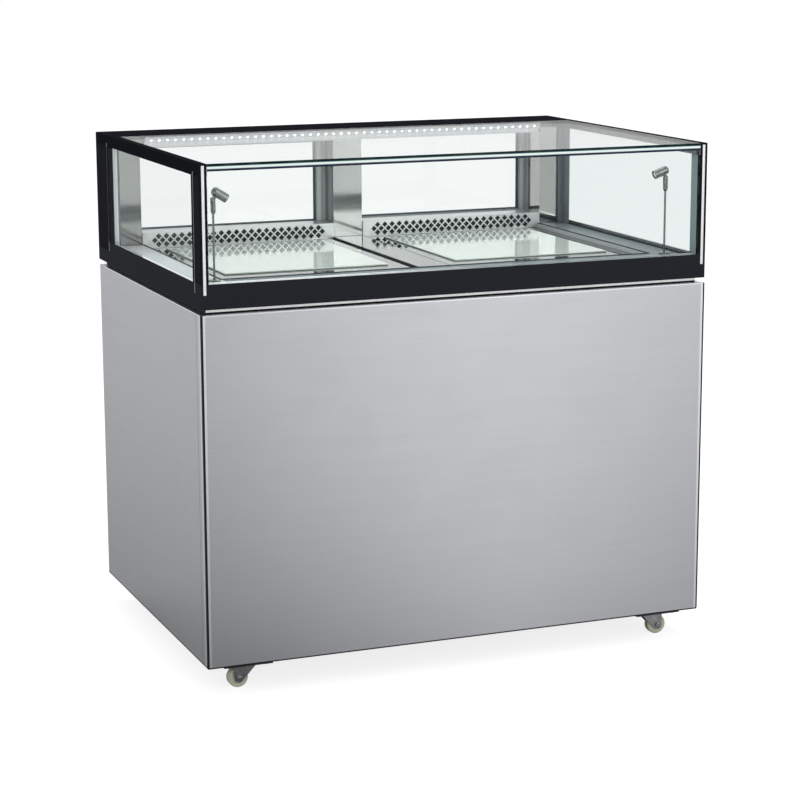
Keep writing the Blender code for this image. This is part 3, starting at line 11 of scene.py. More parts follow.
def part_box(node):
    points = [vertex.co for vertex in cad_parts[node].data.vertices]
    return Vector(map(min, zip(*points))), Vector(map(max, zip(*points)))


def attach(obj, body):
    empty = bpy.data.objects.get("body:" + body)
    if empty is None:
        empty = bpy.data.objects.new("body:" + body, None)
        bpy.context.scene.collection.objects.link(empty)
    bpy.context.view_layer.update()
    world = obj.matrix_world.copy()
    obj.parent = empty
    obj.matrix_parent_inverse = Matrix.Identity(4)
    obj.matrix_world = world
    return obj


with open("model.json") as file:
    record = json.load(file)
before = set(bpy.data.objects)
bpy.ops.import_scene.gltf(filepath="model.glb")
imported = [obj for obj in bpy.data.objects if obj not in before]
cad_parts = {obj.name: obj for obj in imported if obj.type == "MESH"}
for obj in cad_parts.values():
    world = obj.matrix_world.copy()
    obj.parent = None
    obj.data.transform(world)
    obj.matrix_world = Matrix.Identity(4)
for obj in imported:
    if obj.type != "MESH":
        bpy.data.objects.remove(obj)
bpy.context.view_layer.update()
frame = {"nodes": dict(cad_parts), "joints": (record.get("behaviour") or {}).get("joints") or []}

bl_info = {
    "name": "Glass Display Counter",
    "version": (1, 0, 0),
    "blender": (4, 5, 0),
    "location": "View3D > Sidebar > Counter",
    "description": "Dresses the packed display counter with trims, lamps, fittings and finishes",
    "category": "Object",
}

NODES = frame["nodes"]
SIDES = (("left", -1), ("right", 1))
CASTERS = tuple(end + "_" + side for end in ("front", "rear") for side in ("left", "right"))

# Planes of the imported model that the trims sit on
CASE_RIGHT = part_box("right_front_post")[1].x
POST_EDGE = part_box("right_front_post")[0].x
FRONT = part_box("front_glass")[0].y
GLASS_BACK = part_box("front_glass")[1].y
GLASS_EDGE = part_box("front_glass")[1].x
BAND_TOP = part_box("front_glass")[0].z
SILL_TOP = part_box("left_rear_post")[0].z
CASE_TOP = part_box("top_glass")[1].z
TOP_GLASS_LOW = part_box("top_glass")[0].z
SIDE_GLASS_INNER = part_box("right_side_glass")[0].x
SIDE_GLASS_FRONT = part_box("right_side_glass")[0].y
SIDE_GLASS_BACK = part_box("right_side_glass")[1].y
RAIL_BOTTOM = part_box("right_side_glass")[1].z
POST_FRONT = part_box("centre_rear_post")[0].y
REAR_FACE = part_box("rear_panel")[1].y
PANEL_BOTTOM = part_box("front_panel")[0].z
PANEL_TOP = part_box("front_panel")[1].z
LEDGE_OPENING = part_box("right_deck_tray")[1].x
LEDGE_FRONT_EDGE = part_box("right_deck_tray")[0].y
LEDGE_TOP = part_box("front_ledge")[1].z

# Limits of trims and of the finishes that change by place, in metres
JAMB_FRONT = POST_FRONT - 0.0320
REAR_BORDER = POST_FRONT - 0.0220
RAIL_INNER = POST_FRONT + 0.0290
SILL_REAR = 0.2985
CHEEK_EDGE = 0.4838
# Limits of the painted highlight on the folded edges of the base panels
RIM_EDGE = 0.4930
RIM_RETURN = 0.0165
RIM_HEIGHT = 0.0022
RIM_REAR = REAR_FACE - 0.03
EDGE_DROP = 0.0036

# Smallest overlap or clearance, and the usual rounding of a trim's edges
HAIR = 0.0002
ROUND = 0.0003
SMOOTH_ANGLE = math.radians(32)


# Sizes and colours that a user may change

def length(name, description, default):
    """A length in metres."""
    return FloatProperty(name=name, description=description, default=default, min=0.0, precision=4,
                         unit="LENGTH")


def share(name, description, default, top=1.0):
    """A plain number from zero up."""
    return FloatProperty(name=name, description=description, default=default, min=0.0, max=top)


def tint(name, description, default):
    """A linear colour."""
    return FloatVectorProperty(name=name, description=description, default=default, size=3, min=0.0,
                               max=1.0, subtype="COLOR")


class CounterSizes(bpy.types.PropertyGroup):
    """Sizes of the trims and small fittings."""

    strip_width: length("Corner strip width", "Width of the strip on each front corner", 0.0050)
    strip_inset: length("Corner strip inset", "Distance of the strip from the corner", 0.0050)
    strip_thickness: length("Strip thickness", "How far bright strips stand proud", 0.0008)
    trim_width: length("Side trim width", "Width of the thin lines beside the side glass", 0.0020)
    bead_width: length("Deck bead width", "Width of the dark beads round the deck", 0.0028)
    bead_height: length("Deck bead height", "Height of the dark beads round the deck", 0.0016)
    border: length("Glass border", "Width of the dark front border on the side glass", 0.0100)
    lamp_pitch: length("Lamp pitch", "Distance between lamps of the light bar", 0.01667)
    lamp_radius: length("Lamp radius", "Radius of one lamp of the light bar", 0.0023)
    # The base seam and hem are painted shade
    seam: length("Base seam", "Width of the dark seam on the front of each base corner", 0.0026)
    seam_side: length("Base seam return", "Width of the seam beside each base corner", 0.0070)
    hem: length("Base hem", "Height of the dark edge below the base panels", 0.0026)
    screw_radius: length("Screw radius", "Radius of a panel screw head", 0.0042)
    lamp_count: IntProperty(name="Lamps", description="Lamps on the light bar", default=51, min=2)


class CounterColours(bpy.types.PropertyGroup):
    """Main colours of the finishes."""

    steel: tint("Steel", "Brushed stainless sheet", (0.575, 0.586, 0.612))
    mirror: tint("Mirror", "Polished stainless", (0.42, 0.425, 0.415))
    frame: tint("Frame", "Satin black of the showcase frame", (0.0310, 0.0335, 0.0410))
    lining: tint("Lining", "Bare metal inside the frame", (0.20, 0.205, 0.21))
    glass: tint("Glass", "Tint of the front and top glass", (0.885, 0.912, 0.905))
    side: tint("Side glass", "Tint of the side glass", (0.845, 0.870, 0.868))
    panel: tint("Deck panel", "Back-painted deck glass", (0.64, 0.68, 0.64))
    deck: tint("Deck", "Bright steel of the deck", (0.30, 0.315, 0.31))
    lamp: tint("Lamp", "Light of the small lamps", (0.88, 0.95, 1.0))
    wheel: tint("Wheel", "Cream nylon of the wheels", (0.86, 0.88, 0.67))


class CounterStage(bpy.types.PropertyGroup):
    """Camera and studio values."""

    lens: share("Lens", "Focal length in millimetres", 103.465, 500.0)
    heading: FloatProperty(name="Heading", description="Turn of the camera from straight on",
                           default=math.radians(21.861), subtype="ANGLE")
    pitch: FloatProperty(name="Pitch", description="Downward tilt of the camera",
                         default=math.radians(11.651), subtype="ANGLE")
    roll: FloatProperty(name="Roll", description="Roll of the camera",
                        default=math.radians(-0.169), subtype="ANGLE")
    stand: FloatVectorProperty(name="Stand", description="Place of the camera", size=3,
                               default=(-1.6548, -4.1607, 1.3678), subtype="TRANSLATION")
    ambient: share("Ambient", "Level of the light from all round", 0.55)
    floor: share("Floor", "Reflectance of the floor", 0.50)
    glow: share("Floor lift", "What the seen floor adds to reach white", 0.82)
    # The mirrored lifts, horizon and backdrop are painted reflection levels that only reflected
    # rays see
    sheen: share("Mirrored floor lift", "What the mirrored floor adds in front", 1.32, 3.0)
    flank: share("Mirrored side lift", "What the mirrored floor adds beside the counter", 0.46)
    horizon: share("Mirrored horizon", "Level of the mirrored surroundings near the horizon", 0.40)
    backdrop: share("Mirrored backdrop", "Level of the mirrored surroundings behind", 0.90)
    key: share("Key", "Power of the overhead lamp in watts", 38.0, 1000.0)
    fill: share("Fill", "Power of the front lamp in watts", 20.0, 1000.0)


# Shaping helpers: each acts on the one selected piece

def clear_selection():
    """Leave object mode with nothing selected."""
    if bpy.context.object and bpy.context.object.mode != "OBJECT":
        bpy.ops.object.mode_set(mode="OBJECT")
    bpy.ops.object.select_all(action="DESELECT")


def settle():
    """Put place, turn and scale of the selected piece into its mesh."""
    bpy.ops.object.transform_apply(location=True, rotation=True, scale=True)
    return bpy.context.object


def pick(kind, test):
    """In edit mode, select only the faces or edges that pass a test."""
    bpy.ops.mesh.select_mode(type={"faces": "FACE", "edges": "EDGE"}[kind])
    bpy.ops.mesh.select_all(action="DESELECT")
    mesh = bpy.context.edit_object.data
    shape = bmesh.from_edit_mesh(mesh)
    for item in getattr(shape, kind):
        if test(item):
            item.select_set(True)
    bmesh.update_edit_mesh(mesh)


def drawn_out(offset):
    """In edit mode, extrude the selected faces by an offset."""
    bpy.ops.mesh.extrude_region_move(TRANSFORM_OT_translate={"value": offset})


def block(low, high, edge=ROUND, steps=2):
    """A block between two corners with rounded edges."""
    clear_selection()
    low, high = Vector(low), Vector(high)
    bpy.ops.mesh.primitive_cube_add(size=1.0, location=(low + high) / 2)
    bpy.context.object.scale = high - low
    settle()
    bpy.ops.object.mode_set(mode="EDIT")
    bpy.ops.mesh.select_all(action="SELECT")
    bpy.ops.mesh.bevel(offset=edge, segments=steps, affect="EDGES")
    bpy.ops.object.mode_set(mode="OBJECT")
    return bpy.context.object


def side_block(side, low, high, edge=ROUND, steps=2):
    """A block given for the right side, or its mirror image on the left side."""
    near, far = sorted((side * low[0], side * high[0]))
    return block((near, *low[1:]), (far, *high[1:]), edge, steps)


def turned(rings, corners):
    """A closed turned shape along Z: a disc extruded and scaled from ring to ring."""
    clear_selection()
    radius, level = rings[0]
    bpy.ops.mesh.primitive_circle_add(vertices=corners, radius=radius, fill_type="NGON",
                                      location=(0, 0, level))
    settle()
    bpy.ops.object.mode_set(mode="EDIT")
    bpy.ops.mesh.select_mode(type="FACE")
    bpy.ops.mesh.select_all(action="SELECT")
    for next_radius, next_level in rings[1:]:
        drawn_out((0, 0, next_level - level))
        factor = next_radius / radius
        bpy.ops.transform.resize(value=(factor, factor, 1.0), center_override=(0, 0, next_level))
        radius, level = next_radius, next_level
    bpy.ops.mesh.select_all(action="SELECT")
    bpy.ops.mesh.normals_make_consistent(inside=False)
    bpy.ops.object.mode_set(mode="OBJECT")
    return bpy.context.object


def aimed(piece, place, axis):
    """Turn a piece made along Z to an axis and move it to its place."""
    clear_selection()
    piece.select_set(True)
    bpy.context.view_layer.objects.active = piece
    piece.rotation_mode = "QUATERNION"
    piece.rotation_quaternion = Vector(axis).to_track_quat("Z", "Y")
    piece.location = place
    return settle()


def joined(pieces):
    """Join several pieces in one mesh."""
    clear_selection()
    for piece in pieces:
        piece.select_set(True)
    bpy.context.view_layer.objects.active = pieces[0]
    if len(pieces) > 1:
        bpy.ops.object.join()
    return bpy.context.object


def copies(piece, offsets):
    """Copy a piece to each offset, each copy with a mesh of its own, and join them."""
    made = []
    for offset in offsets:
        clear_selection()
        piece.select_set(True)
        bpy.context.view_layer.objects.active = piece
        bpy.ops.object.duplicate(linked=False)
        bpy.context.object.location = offset
        made.append(settle())
    bpy.data.objects.remove(piece)
    return joined(made)


def fit(piece, name, look, body="cabinet"):
    """Name a finished piece, give it its finish and let it ride on a body."""
    clear_selection()
    piece.select_set(True)
    bpy.context.view_layer.objects.active = piece
    piece.name = name
    piece.data.name = name
    piece.data.materials.clear()
    piece.data.materials.append(finish(look))
    bpy.ops.object.shade_smooth_by_angle(angle=SMOOTH_ANGLE)
    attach(piece, body)
    return piece


# Node helpers

def node(tree, kind, inputs=None, **settings):
    """Add a node, set its options, and set or link its inputs."""
    made = tree.nodes.new(kind)
    for key, value in settings.items():
        setattr(made, key, value)
    for key, value in (inputs or {}).items():
        wire(tree, value, made.inputs[key])
    return made


def wire(tree, value, socket):
    """Link a socket, or set a plain value."""
    if isinstance(value, bpy.types.NodeSocket):
        tree.links.new(value, socket)
    elif isinstance(value, (tuple, list)) and len(value) == 3 and socket.type == "RGBA":
        socket.default_value = (*value, 1.0)
    else:
        socket.default_value = value


def calc(tree, operation, first, second=0.0):
    """A math node's result."""
    return node(tree, "ShaderNodeMath", {0: first, 1: second}, operation=operation).outputs[0]


def times(tree, first, second):
    """The product of two values."""
    return calc(tree, "MULTIPLY", first, second)


def scaled(colour, factor):
    """A colour made darker or lighter."""
    return tuple(value * factor for value in colour)


def blend(tree, mask, first, second):
    """Mix two colours by a mask."""
    made = node(tree, "ShaderNodeMix", {0: mask, 6: first, 7: second}, data_type="RGBA")
    return made.outputs[2]


def spread(tree, value, low, high, start=0.0, end=1.0):
    """Map a value from start..end to low..high."""
    made = node(tree, "ShaderNodeMapRange",
                {"Value": value, "From Min": start, "From Max": end, "To Min": low, "To Max": high})
    return made.outputs[0]


def place_axes(tree):
    """Object coordinates, whole and as X, Y and Z."""
    coords = node(tree, "ShaderNodeTexCoord").outputs["Object"]
    parts = node(tree, "ShaderNodeSeparateXYZ", {0: coords}).outputs
    return coords, parts[0], parts[1], parts[2]


# Effects shared by several finishes

def new_group(name, numbers):
    """Start a shader node group with a vector input and one value output."""
    tree = bpy.data.node_groups.new(name, "ShaderNodeTree")
    tree.interface.new_socket("Vector", in_out="INPUT", socket_type="NodeSocketVector")
    for label, default in numbers:
        socket = tree.interface.new_socket(label, in_out="INPUT", socket_type="NodeSocketFloat")
        socket.default_value = default
    tree.interface.new_socket("Mask", in_out="OUTPUT", socket_type="NodeSocketFloat")
    return tree, tree.nodes.new("NodeGroupInput").outputs, tree.nodes.new("NodeGroupOutput").inputs


def grain_group():
    """Streaks of brushed metal: fine lines over broader ones."""
    tree, given, result = new_group("Brushed Grain", (("Fine", 1.0), ("Broad", 0.07)))
    fine = node(tree, "ShaderNodeTexNoise", {"Vector": given[0], "Scale": given[1], "Detail": 3.0})
    broad = node(tree, "ShaderNodeTexNoise", {"Vector": given[0], "Scale": given[2], "Detail": 2.0})
    both = calc(tree, "ADD", times(tree, fine.outputs[0], 0.86),
                times(tree, broad.outputs[0], 0.14))
    tree.links.new(spread(tree, both, 0.0, 1.0, 0.3, 0.7), result[0])


def marks_group():
    """Cloudy handling marks, mostly clear with soft patches."""
    tree, given, result = new_group("Handling Marks", (("Scale", 9.0),))
    cloud = node(tree, "ShaderNodeTexNoise",
                 {"Vector": given[0], "Scale": given[1], "Detail": 4.0, "Roughness": 0.62,
                  "Distortion": 0.6})
    tree.links.new(spread(tree, cloud.outputs[0], 0.0, 1.0, 0.42, 0.72), result[0])


def speckle_group():
    """Fine even speckle of a sprayed or moulded surface."""
    tree, given, result = new_group("Fine Speckle", (("Scale", 700.0),))
    grit = node(tree, "ShaderNodeTexNoise", {"Vector": given[0], "Scale": given[1], "Detail": 2.0})
    tree.links.new(spread(tree, grit.outputs[0], 0.0, 1.0, 0.3, 0.7), result[0])


def dust_group():
    """Dust that settles on faces that look up."""
    tree, given, result = new_group("Settled Dust", (("Amount", 0.3),))
    normal = node(tree, "ShaderNodeNewGeometry").outputs["Normal"]
    up = node(tree, "ShaderNodeSeparateXYZ", {0: normal}).outputs[2]
    cloud = node(tree, "ShaderNodeTexNoise", {"Vector": given[0], "Scale": 34.0, "Detail": 5.0})
    flat = spread(tree, up, 0.0, 1.0, 0.55, 0.95)
    veil = times(tree, flat, spread(tree, cloud.outputs[0], 0.2, 1.0, 0.35, 0.65))
    tree.links.new(times(tree, veil, given[1]), result[0])


def effect(tree, name, vector, **numbers):
    """Place a shared effect in a material and return its mask."""
    inputs = {"Vector": vector, **{label.title(): value for label, value in numbers.items()}}
    made = tree.nodes.new("ShaderNodeGroup")
    made.node_tree = bpy.data.node_groups[name]
    for key, value in inputs.items():
        wire(tree, value, made.inputs[key])
    return made.outputs[0]


# Finishes

def blank(name, **constants):
    """Start a material: its tree, and its shader's sockets with plain values set."""
    material = bpy.data.materials.new(name)
    material.use_nodes = True
    tree = material.node_tree
    shader = tree.nodes["Principled BSDF"]
    for label, value in constants.items():
        wire(tree, value, shader.inputs[label.replace("_", " ")])
    return tree, shader.inputs


def relief(tree, height, sockets, strength, depth):
    """Fine bump from a height."""
    bump = node(tree, "ShaderNodeBump", {"Height": height, "Strength": strength, "Distance": depth})
    tree.links.new(bump.outputs[0], sockets["Normal"])


def brushed(name, colour, dark=0.94, rough=(0.31, 0.37), stretch=(5.0, 5.0, 900.0), marks=0.03,
            bump=0.05, dust=0.0, second=None):
    """Metal with directional grain, faint marks, fine relief and maybe a second tone by place."""
    tree, sockets = blank(name, Metallic=1.0)
    coords, x, y, z = place_axes(tree)
    drawn = node(tree, "ShaderNodeMapping", {"Vector": coords, "Scale": stretch}).outputs[0]
    grain = effect(tree, "Brushed Grain", drawn)
    cloud = effect(tree, "Handling Marks", coords)
    deep = scaled(colour, dark)
    tone = blend(tree, grain, deep, tuple(colour))
    tone = blend(tree, times(tree, cloud, marks), tone, scaled(colour, 0.75))
    if second:
        mask_of, other = second
        tone = blend(tree, mask_of(tree, calc(tree, "ABSOLUTE", x), y, z), tone, other)
    if dust:
        settled = effect(tree, "Settled Dust", coords, amount=dust)
        tone = blend(tree, settled, tone, (0.30, 0.29, 0.27))
    tree.links.new(tone, sockets["Base Color"])
    worn = calc(tree, "ADD", spread(tree, grain, rough[1], rough[0]), times(tree, cloud, marks))
    tree.links.new(worn, sockets["Roughness"])
    relief(tree, grain, sockets, bump, 0.0004)


def coated(name, colour, light=1.35, rough=(0.32, 0.44), scale=700.0, bump=0.06, metallic=0.0,
           level=0.5, dust=0.0, coat=0.0, second=None):
    """Paint, plastic or plate with fine speckle, soft marks and maybe a second tone by place."""
    tree, sockets = blank(name, Metallic=metallic)
    sockets["Specular IOR Level"].default_value = level
    sockets["Coat Weight"].default_value = coat
    sockets["Coat Roughness"].default_value = 0.05
    coords, x, y, z = place_axes(tree)
    grit = effect(tree, "Fine Speckle", coords, scale=scale)
    cloud = effect(tree, "Handling Marks", coords, scale=14.0)
    bright = tuple(min(1.0, value * light) for value in colour)
    tone = blend(tree, times(tree, grit, 0.5), tuple(colour), bright)
    tone = blend(tree, times(tree, cloud, 0.35), tone, bright)
    if second:
        mask_of, other = second
        tone = blend(tree, mask_of(tree, x, y, z), tone, other)
    if dust:
        settled = effect(tree, "Settled Dust", coords, amount=dust)
        tone = blend(tree, settled, tone, (0.32, 0.31, 0.29))
    tree.links.new(tone, sockets["Base Color"])
    worn = calc(tree, "ADD", spread(tree, grit, rough[0], rough[1]), times(tree, cloud, 0.05))
    tree.links.new(worn, sockets["Roughness"])
    relief(tree, grit, sockets, bump, 0.0003)


def two_tone(name, mask_of, black, metal, rough_metal, level=0.0015, bareness=1.0):
    """Satin black outside and bare metal inside, split by place on the piece; on the front posts
    and glass borders the inside is a painted reflection.
    """
    tree, sockets = blank(name)
    sockets["Specular IOR Level"].default_value = level
    coords, x, y, z = place_axes(tree)
    dark = mask_of(tree, calc(tree, "ABSOLUTE", x), y, z)
    bare_share = calc(tree, "SUBTRACT", 1.0, dark)
    drawn = node(tree, "ShaderNodeMapping", {"Vector": coords, "Scale": (160.0, 160.0, 4.0)})
    grain = effect(tree, "Brushed Grain", drawn.outputs[0], fine=4.0)
    grit = effect(tree, "Fine Speckle", coords)
    cloud = effect(tree, "Handling Marks", coords, scale=14.0)
    bare = blend(tree, grain, scaled(metal, 0.94), tuple(metal))
    paint = blend(tree, times(tree, grit, 0.6), tuple(black), scaled(black, 1.5))
    tree.links.new(blend(tree, dark, bare, paint), sockets["Base Color"])
    tree.links.new(times(tree, bare_share, bareness), sockets["Metallic"])
    smooth = calc(tree, "ADD", times(tree, grain, 0.03), times(tree, cloud, 0.03))
    bare_rough = calc(tree, "ADD", smooth, rough_metal)
    paint_rough = spread(tree, grit, 0.30, 0.40)
    mixed = calc(tree, "ADD", times(tree, dark, paint_rough), times(tree, bare_share, bare_rough))
    tree.links.new(mixed, sockets["Roughness"])
    relief(tree, grit, sockets, 0.04, 0.0002)


def clear_glass(name, colour, rough, bend):
    """Glass that lets lamp light through, with faint wiping marks."""
    tree, sockets = blank(name, Transmission_Weight=1.0, IOR=bend)
    coords = place_axes(tree)[0]
    cloud = effect(tree, "Handling Marks", coords, scale=6.0)
    tone = blend(tree, times(tree, cloud, 0.3), tuple(colour), scaled(colour, 0.985))
    tree.links.new(tone, sockets["Base Color"])
    tree.links.new(times(tree, cloud, rough), sockets["Roughness"])
    open_way = node(tree, "ShaderNodeBsdfTransparent", {"Color": (0.93, 0.97, 0.95)})
    shadow = node(tree, "ShaderNodeLightPath").outputs["Is Shadow Ray"]
    surface = tree.nodes["Principled BSDF"].outputs[0]
    either = node(tree, "ShaderNodeMixShader", {0: shadow, 1: surface, 2: open_way.outputs[0]})
    tree.links.new(either.outputs[0], tree.nodes["Material Output"].inputs["Surface"])


def lit(name, colour, strength, rough=0.25, fade=None):
    """A lamp face, or an edge glowing as a painted highlight, with a slightly uneven glow, maybe
    dying out along X.
    """
    tree, sockets = blank(name, Emission_Strength=strength, Roughness=rough)
    coords, x, _, _ = place_axes(tree)
    cloud = effect(tree, "Fine Speckle", coords, scale=160.0)
    tone = blend(tree, cloud, scaled(colour, 0.86), tuple(colour))
    if fade:
        start, end, other = fade
        tone = blend(tree, spread(tree, x, 0.0, 1.0, start, end), tone, other)
    tree.links.new(tone, sockets["Base Color"])
    tree.links.new(tone, sockets["Emission Color"])


def painted_lens_glow(name, colour, pitch):
    """Milky lens below the lamps glowing with painted lamp light, and a soft repeat of each lamp as
    a painted reflection.
    """
    tree, sockets = blank(name, Emission_Strength=0.20, Roughness=0.3)
    coords, x, _, z = place_axes(tree)
    cloud = effect(tree, "Fine Speckle", coords, scale=120.0)
    even = blend(tree, cloud, scaled(colour, 0.94), tuple(colour))
    # Painted reflection of each lamp: a soft spot below each lamp, in one row
    step = calc(tree, "FRACT", calc(tree, "ADD", calc(tree, "DIVIDE", x, pitch), 0.5))
    aside = calc(tree, "ABSOLUTE", calc(tree, "SUBTRACT", step, 0.5))
    near = spread(tree, aside, 1.0, 0.0, 0.08, 0.24)
    row_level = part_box("led_bar")[0].z - 0.0045
    off_row = calc(tree, "ABSOLUTE", calc(tree, "SUBTRACT", z, row_level))
    row = spread(tree, off_row, 1.0, 0.0, 0.0008, 0.0030)
    glow = blend(tree, times(tree, times(tree, near, row), 0.8), even, (1.0, 1.0, 1.0))
    tree.links.new(even, sockets["Base Color"])
    tree.links.new(glow, sockets["Emission Color"])


def over(tree, value, limit):
    """Mask of what lies beyond a limit."""
    return calc(tree, "GREATER_THAN", value, limit)


def under(tree, value, limit):
    """Mask of what lies below a limit."""
    return calc(tree, "LESS_THAN", value, limit)


def top_frame_dark(tree, x, y, z):
    """Outer faces and top border of the upper frame."""
    outer = calc(tree, "MAXIMUM", over(tree, x, POST_EDGE + HAIR), over(tree, z, CASE_TOP - HAIR))
    return calc(tree, "MAXIMUM", outer, over(tree, y, RAIL_INNER))


def sill_dark(tree, x, y, z):
    """Outer faces of the lower frame."""
    outer = calc(tree, "MAXIMUM", over(tree, x, SIDE_GLASS_INNER + HAIR),
                 over(tree, times(tree, y, -1.0), HAIR - GLASS_BACK))
    return calc(tree, "MAXIMUM", outer, over(tree, y, SILL_REAR))


def cheek_dark(tree, x, y, z):
    """Outer cheeks of the rear posts."""
    return over(tree, x, CHEEK_EDGE)


def post_dark(tree, x, y, z):
    """Outer faces of the front posts, and what the front glass covers."""
    return calc(tree, "MAXIMUM", over(tree, x, POST_EDGE + HAIR), under(tree, y, GLASS_BACK + HAIR))


def border_dark(tree, x, y, z):
    """Outer face of the glass borders."""
    return over(tree, x, CASE_RIGHT + HAIR)


def ledge_shaded(tree, x, y, z):
    """Painted shade on the parts of the ledge behind the front glass and along the right side."""
    front = times(tree, over(tree, x, -LEDGE_OPENING), under(tree, y, LEDGE_FRONT_EDGE))
    upper = over(tree, z, LEDGE_TOP - HAIR)
    return times(tree, upper, calc(tree, "MAXIMUM", front, over(tree, x, LEDGE_OPENING)))


def painted_rim_highlight(tree, x, y, z):
    """Painted highlight on the folded edges along the top and beside the dark corner seams of the
    base.
    """
    front = times(tree, over(tree, x, RIM_EDGE), under(tree, y, FRONT + HAIR))
    side = times(tree, over(tree, x, CASE_RIGHT - HAIR), under(tree, y, FRONT + RIM_RETURN))
    top = times(tree, over(tree, z, PANEL_TOP - RIM_HEIGHT), under(tree, y, RIM_REAR))
    return calc(tree, "MAXIMUM", top, calc(tree, "MAXIMUM", front, side))


def edge_band(name):
    """Polished front edge of the top glass as a glowing painted highlight: a bright green-white
    line between two dark ones.
    """
    tree, sockets = blank(name, Emission_Strength=0.70)
    sockets["Specular IOR Level"].default_value = 0.05
    coords, _, _, z = place_axes(tree)
    rise = spread(tree, z, 0.0, 1.0, TOP_GLASS_LOW - EDGE_DROP, CASE_TOP)
    ramp = node(tree, "ShaderNodeValToRGB", {0: rise})
    stops = ((0.0, (0.008, 0.013, 0.033)), (0.27, (0.012, 0.018, 0.042)),
             (0.34, (0.64, 0.68, 0.67)), (0.56, (0.68, 0.80, 0.76)), (0.64, (0.07, 0.16, 0.165)),
             (0.70, (0.001, 0.010, 0.012)), (1.0, (0.006, 0.014, 0.014)))
    while len(ramp.color_ramp.elements) < len(stops):
        ramp.color_ramp.elements.new(0.5)
    for element, (place, colour) in zip(ramp.color_ramp.elements, stops):
        element.position = place
        element.color = (*colour, 1.0)
    cloud = effect(tree, "Handling Marks", coords, scale=20.0)
    tone = blend(tree, times(tree, cloud, 0.05), ramp.outputs[0], (0.5, 0.6, 0.58))
    tree.links.new(tone, sockets["Base Color"])
    tree.links.new(tone, sockets["Emission Color"])
    tree.links.new(spread(tree, cloud, 0.08, 0.16), sockets["Roughness"])


